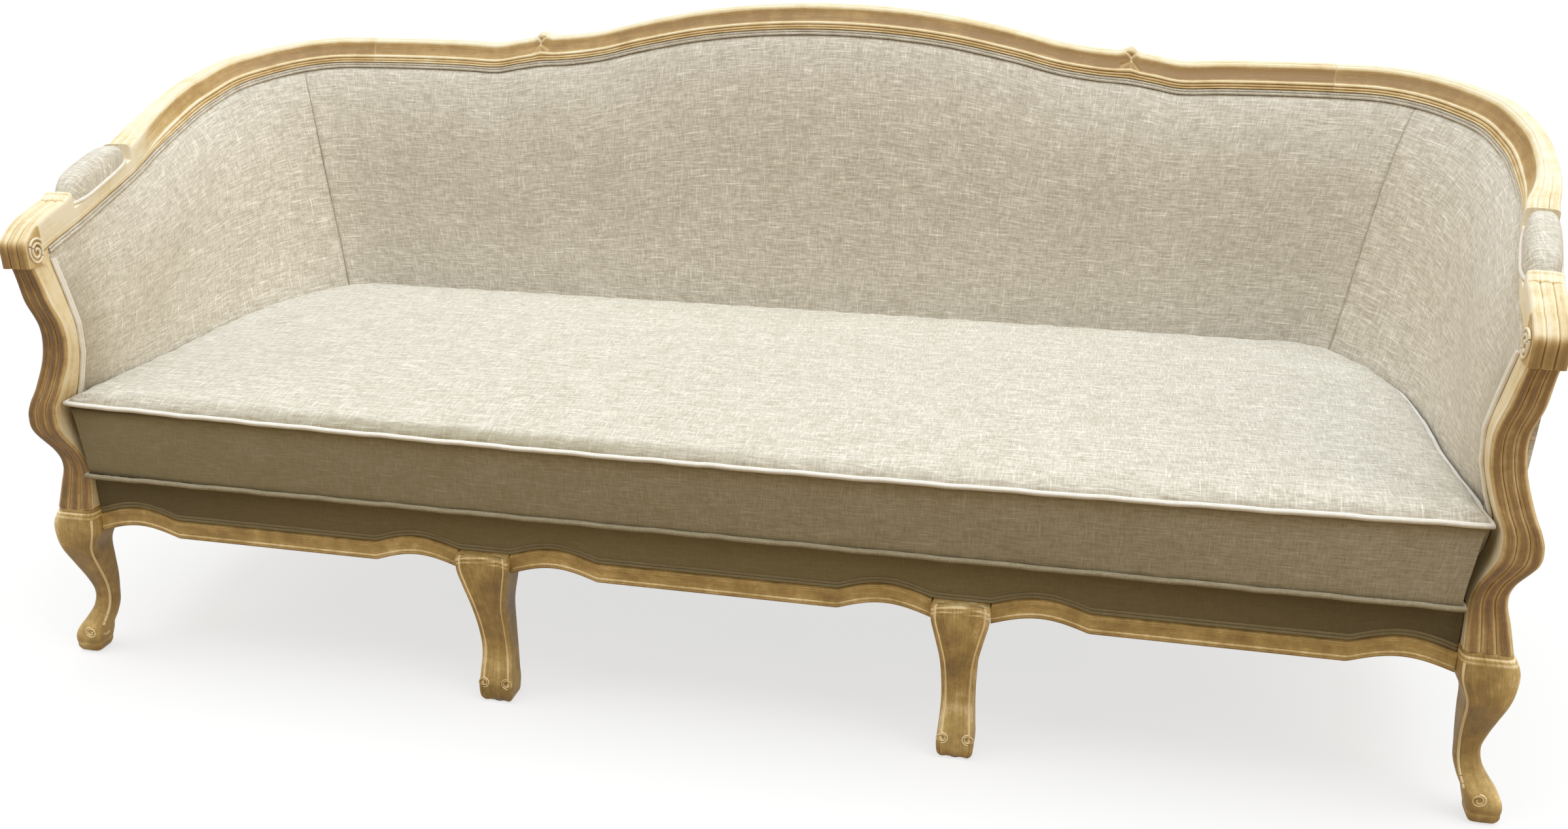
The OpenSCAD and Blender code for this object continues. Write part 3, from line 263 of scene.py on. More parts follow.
def surface(tree, colour, height, strength, depth, **inputs):
    """Ends a material: its colour, a bump depth metres high over height, and the shader's other
    inputs, by name with _ for a space."""
    bump = add_node(tree, "Bump", {"Height": height, "Strength": strength, "Distance": depth})
    given = {key.replace("_", " "): value for key, value in inputs.items()}
    shader = add_node(tree, "BsdfPrincipled", {"Base Color": colour, "Normal": bump, **given})
    add_node(tree, "OutputMaterial", {0: shader})


def limed_oak(name, stops, lime_shift=0.0, grain_axis=None, mottle=0.93):
    """Limed oak: open-grained oak brushed out along the grain and rubbed with pale wax, which
    stays in pores, grooves and quirks and is rubbed through to honey brown on the faces."""
    material, tree = new_material(name)
    place = add_node(tree, "TexCoord").outputs["Object"]
    if grain_axis is not None:
        part = add_node(tree, "SeparateXYZ", {0: place}).outputs
        uv = add_node(tree, "CombineXYZ", {k: part[(grain_axis + k) % 3] for k in range(3)})
    else:
        uv = add_node(tree, "UVMap", uv_map="run")
    wax = add_node(tree, "Attribute", attribute_name="lime").outputs["Fac"]
    # Pores 45 mm long and 1.6 mm wide, drawn about four times as coarse as real ones
    pores = add_node(tree, "TexNoise", {
        "Vector": add_node(tree, "Mapping", {"Vector": uv, "Scale": (22, 620, 1)}),
        "Scale": 1.0, "Detail": 3.0, "Roughness": 0.6})
    # Growth bands 250 mm long and 12 mm wide
    bands = add_node(tree, "TexNoise", {
        "Vector": add_node(tree, "Mapping", {"Vector": uv, "Scale": (4, 85, 1)}),
        "Scale": 1.0, "Detail": 4.0, "Distortion": 0.4})
    # Rubbed patches 45 mm across
    patches = add_node(tree, "TexNoise", {"Vector": place, "Scale": 22.0, "Detail": 8.0,
                                          "Roughness": 0.72})
    layers = ((pores, 0.62), (bands, 0.45), (patches, mottle))
    shift = lime_shift - 0.5 * sum(share for noise, share in layers)
    cover = add_node(tree, "Math", {0: wax, 1: shift}, operation="ADD")
    for noise, share in layers:
        cover = add_node(tree, "Math", {0: noise, 1: share, 2: cover}, operation="MULTIPLY_ADD")
    colour = add_node(tree, "ValToRGB", {0: cover}, stops)
    rough = add_node(tree, "MapRange", {"Value": cover, "To Min": 0.42, "To Max": 0.68})
    surface(tree, colour, cover, 0.3, 0.0012, Roughness=rough, IOR=1.5)
    return material


WAXED = [(0.5, "#ccb07c"), (0.74, "#e4d3aa"), (1.0, "#efe6cf")]
oak_rails = limed_oak("oak_limed_and_waxed", [(0.0, "#967645"), (0.22, "#b0905a"), *WAXED])


MM = 0.001  # metres in a millimetre


def patch_mesh(name, patches, material, sharp):
    """A mesh of grid patches merged where they meet. Each patch is (grid[m, n, 3] in mm,
    lime[m, n] or number, uv[m, n, 2] in mm or None for lengths along and across)."""
    verts, faces, uvs, limes, base = [], [], [], [], 0
    for grid, lime, uv in patches:
        m, n = grid.shape[:2]
        if uv is None:
            runs = [np.cumsum(np.linalg.norm(np.diff(grid, axis=way), axis=2).mean(1 - way))
                    for way in (0, 1)]
            uv = np.stack(np.meshgrid(*[np.concatenate([[0], run]) for run in runs],
                                      indexing="ij"), -1)
        i, j = np.meshgrid(np.arange(m - 1), np.arange(n - 1), indexing="ij")
        a = (i * n + j).ravel()
        quads = np.stack([a, a + 1, a + n + 1, a + n], 1)
        faces.append(quads + base)
        uvs.append(uv.reshape(-1, 2)[quads.ravel()] * MM)
        verts.append(grid.reshape(-1, 3) * MM)
        limes.append(np.broadcast_to(lime, (m, n)).ravel())
        base += m * n
    verts, faces = np.concatenate(verts), np.concatenate(faces)
    uvs, limes = np.concatenate(uvs), np.concatenate(limes)
    mesh = bpy.data.meshes.new(name)
    mesh.vertices.add(len(verts))
    mesh.vertices.foreach_set("co", verts.ravel())
    mesh.loops.add(faces.size)
    mesh.loops.foreach_set("vertex_index", faces.ravel())
    mesh.polygons.add(len(faces))
    mesh.polygons.foreach_set("loop_start", np.arange(0, faces.size, 4))
    mesh.update(calc_edges=True)
    mesh.uv_layers.new(name="run").uv.foreach_set("vector", uvs.ravel())
    mesh.attributes.new("lime", "FLOAT", "POINT").data.foreach_set("value", limes)
    cleaned = bmesh.new()
    cleaned.from_mesh(mesh)
    bmesh.ops.remove_doubles(cleaned, verts=cleaned.verts, dist=2e-6)
    bmesh.ops.dissolve_degenerate(cleaned, edges=cleaned.edges, dist=1e-7)
    cleaned.to_mesh(mesh)
    cleaned.free()
    mesh.polygons.foreach_set("use_smooth", np.ones(len(mesh.polygons), bool))
    mesh.set_sharp_from_angle(angle=math.radians(sharp))
    mesh.materials.append(material)
    made = bpy.data.objects.new(name, mesh)
    bpy.context.collection.objects.link(made)
    return made


def closed(grid):
    """A grid of rings with its first column repeated at the end."""
    return np.concatenate([grid, grid[:, :1]], 1)


def ring_patches(rings, lime, uv=None, caps=True):
    """Patches of a closed tube of rings[m, n, 3], each turning left round the way it goes, with
    fans that close its two ends."""
    grid, lime = closed(rings), closed(np.broadcast_to(lime, rings.shape[:2]))
    out = [(grid, lime, uv)]
    for end, way in ((0, -1), (-1, 1)) if caps else ():
        centre = np.broadcast_to(rings[end].mean(0), grid[end].shape)
        fan = np.stack([grid[end], grid[end] * 0.5 + centre * 0.5, centre])[:, ::way]
        out.append((fan, lime[end].mean(), fan[..., :2] + fan[..., 2:] * [0, 1]))
    return out


def mirrored(patches):
    """The same patches on the other side of the middle, turned so that they face outwards."""
    return [(p[:, ::-1] * [-1, 1, 1], np.broadcast_to(l, p.shape[:2])[:, ::-1],
             None if u is None else u[:, ::-1]) for p, l, u in patches]


def dress(name, patches, material, slot, *replaced, body="frame", sharp=38.0):
    """A piece made of patches, which rides on a body and stands for nodes; slot is not used."""
    piece = patch_mesh(name, patches, material, sharp)
    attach(piece, body)
    if replaced:
        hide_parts(*replaced)
    return piece


def dress_pair(name, patches, material, slot, *replaced, left=None):
    """The same piece on the right and mirrored on the left, which may have patches of its own.
    A {} in a name stands for the side."""
    return [dress(name.format(side), own, material, slot, *[n.format(side) for n in replaced])
            for side, own in (("right", patches), ("left", mirrored(left or patches)))]


def rail_rings(t):
    """Rings of the rail at stops t, with their lime: the section swept along the wall line,
    lifted to a point at each ear and to a cuff at each end of the arm pad."""
    p, o, at = rail_at(t), outward(t), np.abs(t)
    k = ramp(at, TURN_STOP, TURN_STOP + 3.5)[:, None, None]
    section = crest_section[None] * (1 - k) + arm_section[None] * k
    off_ear = at - EAR_STOP
    reach = np.where(off_ear < 0, EAR_RISE, EAR_FALL)
    lift = EAR_H * np.maximum(0, 1 - np.abs(off_ear) / reach) ** 1.3
    cuff = CUFF_H * (bell(at, PAD_REAR, 0.09) + bell(at, PAD_FRONT, 0.09))
    w, h = rail_w(t), rail_hgt(t) + lift + cuff
    x = section[..., 0] * w[:, None]
    rings = points(p[:, :1] + o[:, :1] * x, p[:, 1:2] + o[:, 1:2] * x,
                   p[:, 2:] + section[..., 1] * h[:, None])
    paler = 0.06 * ramp(at, CREST_END, 15) + 0.12 * ramp(at, TURN_STOP, 19)
    return rings, section[..., 2] + paler[:, None]


CHAMFER, CHAMFER_LEAD = 1.0, 0.8


def cut_ends(rings, lime):
    """Close a rail's ends square with a fine chamfer, so that each joint shows as a line."""
    parts = []
    for ring, step in ((rings[0], rings[0] - rings[1]), (rings[-1], rings[-1] - rings[-2])):
        centre = ring.mean(0)
        reach = np.linalg.norm(ring - centre, axis=1, keepdims=True)
        parts.append((centre + (ring - centre) * (1 - CHAMFER / reach),
                      ring - unit(step.mean(0)) * CHAMFER_LEAD))
    rings = np.concatenate([parts[0], rings[1:-1], parts[1][::-1]])
    edge = np.full((1, lime.shape[1]), 0.9)
    return rings, np.concatenate([edge, lime, edge])


def stroke_depth(a, h, strokes, width):
    """How deep each point (a along, h up) lies in V cuts along stroke lines: 1 in the line."""
    near = np.full(a.shape, 1e9)
    for x0, y0, x1, y1 in strokes:
        d = np.array([x1 - x0, y1 - y0])
        u = np.clip(((a - x0) * d[0] + (h - y0) * d[1]) / (d @ d), 0, 1)
        near = np.minimum(near, np.hypot(a - x0 - u * d[0], h - y0 - u * d[1]))
    return np.exp(-(near / width) ** 2)


# A joint's open line and the rings' spacing in stops, fine within reach of an ear; a stop in mm
JOINT, FINE, COARSE, EAR_REACH, EAR_STOP_MM = 0.003, 0.03, 0.09, 0.6, 52.0
# Carving at an ear: a small bud under the peak, in white-lined cuts, and two soft flicks below
# it, in mm along the rail and up it; then each cut's width, depth and change of lime
ear_cuts = [([(-8, 42, 0, 34), (8, 42, 0, 34), (0, 34, 0.5, 29)], 1.7, 2.4, 1.0),
            ([(-7, 43, 0, 38), (7, 43, 0, 38)], 3.4, 1.4, -0.25),
            ([(-3, 27, -17, 19), (3, 26, 15, 17), (0, 29, 0, 21)], 3.0, 1.6, 0.3)]
half = np.unique(np.concatenate([np.arange(0, EAR_STOP - EAR_REACH, COARSE),
                                 np.arange(EAR_STOP - EAR_REACH, EAR_STOP + EAR_REACH, FINE),
                                 np.arange(EAR_STOP + EAR_REACH, CREST_END, COARSE),
                                 [CREST_END]]))
stops = np.concatenate([-half[:0:-1], half])
rings, lime = rail_rings(stops)
heights = rings[..., 2] - rings[:, :1, 2]
along = np.broadcast_to(((np.abs(stops) - EAR_STOP) * EAR_STOP_MM)[:, None], heights.shape)
carved = np.zeros(rings.shape[1])
carved[FACE_FROM - 16:FACE_TO] = 1  # the face and the front of the top
for strokes, width, depth, wax in ear_cuts:
    cut = stroke_depth(along, heights, strokes, width) * carved
    rings[..., :2] += (cut * depth)[..., None] * outward(stops)[:, None]
    lime = np.clip(lime + cut * wax, 0, 1)
# Painted light: the rail is paler to the left and darker to the right
rings, lime = cut_ends(rings, lime - 0.15 * stops[:, None] / CREST_END)
dress("crest_rail_carved", ring_patches(rings, lime), oak_rails, "limed_oak", "crest_rail")

rings, lime = cut_ends(*rail_rings(np.linspace(CREST_END + JOINT, ARM_JOINT, 130)))
dress_pair("wing_rail_{}_moulded", ring_patches(rings, lime), oak_rails, "limed_oak",
           "wing_rail_{}")

# The arm ends in a square block whose reeds turn down over its front: sections fan about the
# block's lower rear corner, each reaching to the top line or to the front face
PAD_SEAT_H, COLLAR_STEP, COLLAR, QUIRK_DEPTH = 24, 0.012, 0.18, 1.8
# How square the block's upper corner is, the fall of its top, how far its front draws in
BLOCK_CORNER, BLOCK_SLOPE, BLOCK_DRAW, BLOCK_TURNS = 16, 0.36, 3.0, 48
stops = np.concatenate([[ARM_JOINT + JOINT],
                        np.arange(ARM_JOINT + 5 * JOINT, PAD_REAR - 0.01, COLLAR_STEP),
                        [PAD_REAR - 0.005, PAD_REAR + 0.005],
                        np.arange(PAD_REAR + 0.1, PAD_FRONT - 0.05, 0.1),
                        [PAD_FRONT - 0.005, PAD_FRONT + 0.005],
                        np.arange(PAD_FRONT + COLLAR_STEP, PAD_FRONT + 0.3, COLLAR_STEP),
                        np.arange(PAD_FRONT + 0.3, BLOCK_STOP, 0.04), [BLOCK_STOP]])
rings, lime = rail_rings(stops)
low = rings[:, :1, 2]
recess = low + np.minimum((rings[..., 2] - low) * 0.9, PAD_SEAT_H)
# Outside the recess each end is a plain arched collar between two fine quirks, 13 mm long
past = np.maximum(PAD_REAR - stops, stops - PAD_FRONT)[:, None]
top = slice(TOP_FROM, FACE_FROM)
arch = 0.9 + 0.1 * (1 - np.abs(2 * arm_section[top, 0] - 1).clip(0, 1) ** 4) ** 0.5
collar = low + arch * (rings[:, top, 2].max(1, keepdims=True) - low)
quirks = bell(past, COLLAR, 0.014) + 0.6 * bell(past, 0.05, 0.012)
rings[:, top, 2] += ((collar - rings[:, top, 2]) * (1 - ramp(past, COLLAR - 0.02, COLLAR + 0.02))
                     - QUIRK_DEPTH * quirks)
rings[..., 2] = np.where(past < 0, recess, rings[..., 2])
lime[:, top] -= 0.5 * np.where(past > 0, quirks, 0)
turns = np.linspace(0, math.pi / 2, BLOCK_TURNS + 1)[1:, None]
last, sine = rings[-1], np.sin(turns)
base_z = last[0, 2]
up = last[:, 2] - base_z
share = up / up.max()
to_top = up.max() / (np.cos(turns) + BLOCK_SLOPE * sine)
to_front = (last[:, 1].mean() - (FRONT_Y - BLOCK_LEAD)) / sine.clip(1e-3)
reach = (to_top ** -BLOCK_CORNER + to_front ** -BLOCK_CORNER) ** (-1 / BLOCK_CORNER)
sunk = (base_z - ARM_LOW) * sine ** 2
rings = np.concatenate([rings, points(last[:, 0] - BLOCK_DRAW * sine ** 2,
                                      last[:, 1] - share * (reach * sine),
                                      base_z - sunk + share * (reach * np.cos(turns)))])
# Painted shade: the block's front and its face beside the cushion are darkened to the wood's brown
block_shade = 0.65 * ramp(turns, 0.7, 1.1) * (last[:, 2] > base_z + 0.7 * up.max())
block_shade[:, FACE_FROM:FACE_TO] = 0.55
lime = np.concatenate([lime, lime[-1] - block_shade])
# The cuffs at the pad's ends hold more wax
near_cuff = bell(stops, PAD_REAR, 0.16) + bell(stops, PAD_FRONT, 0.2)
lime[:len(stops)] += 0.2 * near_cuff[:, None]
dress_pair("arm_rail_{}_reeded", ring_patches(rings, lime), oak_rails, "limed_oak", "arm_rail_{}")


def tube(path, radius, sides=10, joined=False):
    """A round tube of rings along path[m, 3], whose ends may be joined; radius is a number or
    one per point."""
    path = np.asarray(path, float)
    if joined:
        d = np.roll(path, -1, 0) - np.roll(path, 1, 0)
    else:
        d = np.gradient(path, axis=0)
    d = unit(d)
    side = unit(np.cross(d, np.where(np.abs(d[:, 2:]) > 0.9, [[0, 1.0, 0]], [[0, 0, 1.0]])))
    top = np.cross(side, d)
    a = np.linspace(0, 2 * np.pi, sides, endpoint=False)
    r = np.broadcast_to(radius, len(path))[:, None, None]
    rings = path[:, None] + r * (side[:, None] * np.cos(a)[:, None] - top[:, None]
                                 * np.sin(a)[:, None])
    rings = rings[:, ::-1]
    return np.concatenate([rings, rings[:1]]) if joined else rings


# The volute carved on the inner face of each arm block: one raised spiral
VOLUTE_Y, VOLUTE_Z, VOLUTE_TURNS, VOLUTE_R, VOLUTE_WIRE = 41, 722, 2.3, 17.2, 2.1
VOLUTE_START, VOLUTE_EYE = 0.6, 2.2
angle = np.linspace(0, 2 * np.pi * VOLUTE_TURNS, 140)
grow = VOLUTE_EYE + (angle / angle[-1]) ** 0.9 * (VOLUTE_R - VOLUTE_EYE)
volute = points(rail_at(25.0)[0] - 0.4, FRONT_Y - VOLUTE_Y - grow * np.cos(angle + VOLUTE_START),
                VOLUTE_Z + 1.2 * grow * np.sin(angle + VOLUTE_START))
scroll = ring_patches(tube(volute, VOLUTE_WIRE * np.linspace(1, 0.85, 140)), 1.0)
dress_pair("arm_volute_{}", scroll, oak_rails, "limed_oak")

# ---- Arm posts
# Each arm stands on an S-curved oak post, reeded down its front face and smooth on its inner
# side, dowelled into the corner leg below it.
POST_W, POST_BOW, POST_BACK_LOW, REED_DEPTH = 45, 50, 40, 4.6
LEG_JOINT_UP, POST_IN = 44, 13
LEG_JOINT = LEG_H + LEG_JOINT_UP
POST_BASE = LEG_JOINT + FIT
POST_X = rail_at(LAST_STOP)[0] - POST_IN
# Shares: height, inner face, outer face, front face
post_shares = np.array([
    [0, .36, 1.78, .52], [.092, .33, 1.58, .42], [.172, .31, 1.38, .4], [.241, .4, 1.42, .56],
    [.333, .64, 1.82, .92], [.395, .69, 1.85, 1], [.448, .64, 1.71, .98], [.517, .4, 1.44, .84],
    [.632, .09, 1.11, .68], [.747, 0, .98, .72], [.862, .18, 1.2, .96], [1, .44, 1.44, 1.2]])


def smooth_rows(rows, n):
    """n rows evenly spaced along the Catmull-Rom curve through the rows of a table."""
    t = np.linspace(0, len(rows) - 1, n)
    i = np.minimum(np.floor(t).astype(int), len(rows) - 2)

    def row(k):
        """Row k, or the table's first or last."""
        return rows[np.clip(k, 0, len(rows) - 1)]
    return spline(row(i - 1), row(i), row(i + 1), row(i + 2), (t - i)[:, None])


def under_arm(y):
    """Height of the arm's underside over a place along Y, flat under the block."""
    p = rail_at([26, 25, 24, 23])
    return np.interp(y, p[:, 1], p[:, 2])


POST_TOP = float(under_arm(FRONT_Y - POST_BOW))


def post_edge(z, column):
    """X of the post's inner (1) or outer (2) face at heights z."""
    at = (np.asarray(z) - POST_BASE) / (POST_TOP - POST_BASE)
    return POST_X + POST_W * np.interp(at, post_shares[:, 0], post_shares[:, column])


def post_back(z):
    """Y of the post's back, which the side pad meets."""
    seat_y, rail_y = seat_at(POST_STOP)[1], rail_at(POST_STOP)
    over = seat_y + (rail_y[1] - seat_y) * (z - SEAT_H) / (rail_y[2] - SEAT_H)
    under = seat_y + (FRONT_Y + POST_BACK_LOW - seat_y) * (SEAT_H - z) / (SEAT_H - POST_BASE)
    return np.where(z > SEAT_H, over, under)


# Section: three reeds across the front, an eased edge and smooth sides. Columns: share of
# width, mm behind the front face, share of the depth, lime
front_reeds = np.array(reeds(0.03, 0.97, REED_DEPTH, -REED_DEPTH, 0.0, 0.5))
post_section = np.concatenate([
    resample([[r[0], r[1], 0, r[2]] for r in front_reeds], 40, True),
    resample([[1, 6, 0, .8], [1, 9, .2, .3], [1, 9, .9, .3]], 12, True),
    resample([[.95, 9, 1, .4], [.05, 9, 1, .6]], 4, True),
    resample([[0, 9, .94, .85], [0, 6, .2, .85], [0, 6, 0, .95]], 14, True)])
oak_posts = limed_oak("oak_limed_posts", [(0.0, "#7a5e37"), (0.25, "#a2804d"), *WAXED])
rows = smooth_rows(post_shares, 110)
z = POST_BASE + (POST_TOP - POST_BASE) * rows[:, 0]
# Cut back under the block, so that the block's square lower edge stands proud
UNDER_CUT, UNDER_CUT_H = 5.0, 70
under_cut = UNDER_CUT * ramp(z, POST_TOP - UNDER_CUT_H - 5, POST_TOP - 5)
x0, x1 = POST_X + rows[:, 1] * POST_W, POST_X + rows[:, 2] * POST_W - under_cut
y0, y1 = FRONT_Y - rows[:, 3] * POST_BOW + under_cut, post_back(z)
across, behind, deep, wax = post_section.T
rings = points(x0[:, None] + (x1 - x0)[:, None] * across,
               y0[:, None] + behind + (y1 - y0 - behind.max())[:, None] * deep, z[:, None])
head = rings[-1:].copy()
head[..., 2] = np.maximum(head[..., 2], under_arm(head[..., 1])) - FIT
rings = np.concatenate([rings, head])
# The left post is a little darker: painted shade
dress_pair("arm_post_{}_reeded", ring_patches(rings, wax), oak_posts, "limed_oak", "arm_post_{}",
           left=ring_patches(rings, wax - 0.1))

# ---- Legs
# Eight solid oak legs: cabriole ones at the front corners with scrolled toes, flat-fronted ones
# under the middle of the front rail, and plain sabre legs at the back. The same limed oak,
# in darker tones.
LEG_TONES = [(0.0, "#66502a"), (0.25, "#967a44"), (0.5, "#b69a60"), (0.74, "#d6ba7c"),
             (1.0, "#fff0c8")]
PLAIN_LIME = 0.35  # the wax on pieces that have no lime of their own
oak_legs = limed_oak("oak_limed_dark_tones", LEG_TONES, mottle=1.5)
oak_legs_plain = limed_oak("oak_limed_plain_turnings", LEG_TONES, PLAIN_LIME, 2)
KNEE_W, KICK, MID_LEG_W, MID_LEG_D, MID_LEG_X, GLIDE_T = 76, 30, 86, 62, 370, 4
BAND_H, SCALLOP_RISE, SCALLOP_W = 30, 16, 140
ANKLE_IN, ANKLE_BACK, KNEE_SHIFT = 60, 33, 0.23
ANKLE_X, ANKLE_Y = POST_X + ANKLE_IN, FRONT_Y + ANKLE_BACK
APRON_END = ANKLE_X - KNEE_W / 2 - KICK * KNEE_SHIFT
MID_LEG_IN, MID_LEG_OUT = MID_LEG_X - MID_LEG_W / 2, MID_LEG_X + MID_LEG_W / 2


def spiral(centre, across, radius, thick, start):
    """A carved scroll of 1.8 turns: a round wire whose distance from the centre grows with the
    root of its angle, in the plane of across and upwards, so that its outer turn is nearly a
    ring."""
    a = np.linspace(0, 3.6 * np.pi, 72)
    r = radius * (0.15 + 0.85 * (a / a[-1]) ** 0.5)
    path = (np.array(centre, float) + np.outer(r * np.cos(a + start), across)
            + np.outer(r * np.sin(a + start), [0, 0, 1]))
    return ring_patches(tube(path, thick * np.linspace(0.7, 1, 72), 8), 1.0)


def superellipse(angle, power):
    """Places round a superellipse: the angle's cosine and sine over the root, to the power, of
    their powers' sum."""
    c, s = np.cos(angle), np.sin(angle)
    r = (np.abs(c) ** power + np.abs(s) ** power) ** (-1 / power)
    return r * c, r * s


def leg_rings(z, x, y, w, d, corner):
    """Rings of a leg at heights z: superellipses of width w and depth d, nearly square where
    corner is 0 and round where it is 1."""
    z, x, y, w, d, corner = (column[:, None] for column in (z, x, y, w, d, corner))
    a = np.linspace(0, 2 * np.pi, LEG_SIDES, endpoint=False) - 0.75 * np.pi
    across, back = superellipse(a, 2 + 6 * (1 - corner))
    return points(x + across * w / 2, y + back * d / 2, z)


LEG_SIDES = 48
# Shares: height, how far the leg kicks sideways and back, width, depth
corner_leg_shares = np.array([
    [0, 1, -.5, .49, .49], [.028, 1.03, -.47, .6, .57], [.092, .97, -.43, .63, .61],
    [.146, .8, -.37, .62, .58], [.206, .47, -.2, .57, .53], [.288, .13, -.03, .49, .475],
    [.384, 0, 0, .45, .45], [.484, 0, -.17, .53, .53], [.598, .03, -.5, .65, .66],
    [.726, .07, -.83, .79, .84], [.833, -.12, -.93, 1.013, .92], [.918, -.19, -.9, 1.02, .92],
    [1, -.427, -.83, .836, .84]])
rows = smooth_rows(corner_leg_shares, 150)
z = GLIDE_T + (LEG_JOINT - GLIDE_T) * rows[:, 0]
NECK_Z, TOE_Z, SCROLL_Z, KNEE_Z, ANKLE_Z, BEAD_LOW, BEAD_HIGH = 17, 33, 45, 245, 90, 52, 268


def bells(*rows):
    """Sum of bell curves over the heights z: each of a height, middle and width."""
    return sum(height * bell(z, middle, width) for height, middle, width in rows)


# A double bead under the joint, a neck over the foot and a swelling at the toe
ring_bead = bells((2.2, LEG_JOINT - 3.5, 2.6), (1.6, LEG_JOINT - 12, 2.4),
                  (-1.2, LEG_JOINT - 8, 1.6), (-1.2, NECK_Z, 4), (1.8, TOE_Z, 10))
rings = leg_rings(z, ANKLE_X + rows[:, 1] * KICK, ANKLE_Y + rows[:, 2] * KICK,
                  rows[:, 3] * KNEE_W + ring_bead, rows[:, 4] * KNEE_W + ring_bead,
                  0.35 + 0.5 * bell(z, ANKLE_Z, 50))
lime = 0.42 + bells((0.7, LEG_JOINT - 8, 1.8), (0.6, LEG_JOINT - 15, 1.8), (0.22, SCROLL_Z, 25),
                    (0.25, NECK_Z, 2.2))
# The knee's outer side holds more wax
outer = np.clip((rings[..., 0] - rings[..., 0].mean(1, keepdims=True)) / 30, 0, 1)
leg = ring_patches(rings, lime[:, None] + 0.35 * bell(z, KNEE_Z, 34)[:, None] * outer)
# A bead down the front corner and a finer one down the rear corner, their wobble averaged out
# over 15 rings
edge = (z > BEAD_LOW) & (z < BEAD_HIGH)
middle = rings[edge].mean(1)
for column, radius, wax in ((0, 2.0, 1.2), (LEG_SIDES // 2, 1.2, 0.5)):
    bead_path = rings[edge, column] * 0.985 + middle * 0.015
    soft = np.pad(bead_path, ((7, 7), (0, 0)), mode="edge")
    bead_path[:, :2] = np.stack([soft[k:k + len(bead_path), :2] for k in range(15)]).mean(0)
    leg += ring_patches(tube(bead_path, radius, 8), wax)
# A small scroll on each outer face of the toe
toe = rings[np.argmin(np.abs(z - TOE_Z))]
leg += spiral(toe[3] + [1, 0.4, 8], [1, 0, 0], 10, 1.3, 2.9)
leg += spiral(toe[44] + [0.4, 2, 6], [0, 1, 0], 9, 1.2, 0.6)
dress_pair("front_corner_leg_{}_cabriole", leg, oak_legs, "limed_oak_dark",
           "front_corner_leg_{}")

# Shares: height, how far back the middle lies, width, depth
mid_leg_shares = np.array([
    [0, .3, .53, .6], [.03, .29, .63, .7], [.1, .31, .66, .74], [.17, .37, .63, .68],
    [.315, .48, .58, .61], [.47, .42, .59, .68], [.64, .27, .66, .81], [.8, .19, .85, .97],
    [.906, .16, .99, 1.03], [1, .16, 1, 1]])


def across_middle(rows):
    """The same rows in turn on the other side of the leg's middle."""
    return [[-x, -x_in, *rest] for x, x_in, *rest in rows[::-1]]


# Section: an edge bead, a groove, the flat face, the same again and plain rounded sides.
# Columns: share of half width, mm in from it, share of half depth, mm in from it, lime
bead = [[-1, 0.0, -1, 4.0, .25], [-1, 0.8, -1, 1.4, .3], [-1, 2.4, -1, 0.2, .35],
        [-1, 4.2, -1, 0.0, .3], [-1, 5.2, -1, 1.2, .6], [-1, 5.8, -1, 1.0, 1.3],
        [-1, 6.6, -1, 0.2, 1.3], [-1, 7.4, -1, 1.0, 1.2], [-1, 8.0, -1, 1.6, .5],
        [-1, 9.5, -1, 1.7, .22], [-1, 16, -1, 1.6, .2]]
run = [[1, 0, -.6, 0, .2], [1, 0, 0, 0, .15], [1, 0, .7, 0, .15], [1, -2, .95, 0, .2],
       [1, -6, 1, 0, .2]]
leg_section = np.array(bead + [[0, 0, -1, 1.4, .2]] + across_middle(bead) + run
                       + [[0, 0, 1, 0, .15]] + across_middle(run))
rows = smooth_rows(mid_leg_shares, 120)
LEG_TOP, RAIL_TOP, TACK_Y, SEAT_RAIL_T = LEG_H + BAND_H, 318.0, FRONT_Y + 4, 38
ARCH_DROP, ARCH_GAP, LINE_DEPTH, MID_TOE_Z, MID_SCROLL_Z = 7, 6.5, 0.8, 32, 36
z = (GLIDE_T + (LEG_TOP - GLIDE_T) * rows[:, 0])[:, None]
pinch = 2.5 * ramp(z, LEG_TOP - 4, LEG_TOP)  # the eased top edge
w, d = rows[:, 2:3] * MID_LEG_W / 2 - pinch, rows[:, 3:] * MID_LEG_D / 2 - pinch
wide, x_in, deep, y_in, wax = leg_section.T
rings = points(MID_LEG_X + wide * w + x_in,
               FRONT_Y + rows[:, 1:2] * MID_LEG_D + deep * d + y_in, z)
lime = wax + 0.18 + 0.16 * bell(z, 70, 35)
# Below the scrolls the edge lines stop, and two fine lines arch across under the top
lime = np.where(z < MID_TOE_Z, np.minimum(lime, 0.36), lime)
arch = z - LEG_TOP + 2 + ARCH_DROP * (wide + x_in / (MID_LEG_W / 2)) ** 2
line = (bell(arch, 0, 1.3) + 0.8 * bell(arch, -ARCH_GAP, 1.1)) * (deep < -0.9)
rings[..., 1] -= line * LINE_DEPTH
leg = ring_patches(rings, lime + 0.8 * line)
# The square block behind the rails' ends
block_x, block_y = np.array([-1, 1, 1, -1]) * MID_LEG_W / 2, np.array([0, 0, 1, 1]) * SEAT_RAIL_T
leg += ring_patches(points(MID_LEG_X + block_x, TACK_Y + block_y,
                           np.array([[LEG_TOP - 1], [RAIL_TOP]])), 0.2)
# A scroll at the foot of each edge bead
toe = rings[np.argmin(np.abs(z - MID_SCROLL_Z))]
for k, way in ((6, 1), (2 * len(bead) - 6, -1)):
    leg += spiral(toe[k] + [1.5 * way, 0.3, 0], [way, 0, 0], 9.5, 1.2, 2.9)
# The right one is paler
paler = [(grid, level + 0.13, uv) for grid, level, uv in leg]
dress_pair("front_mid_leg_{}_beaded", paler, oak_legs, "limed_oak_dark", "front_mid_leg_{}",
           left=leg)


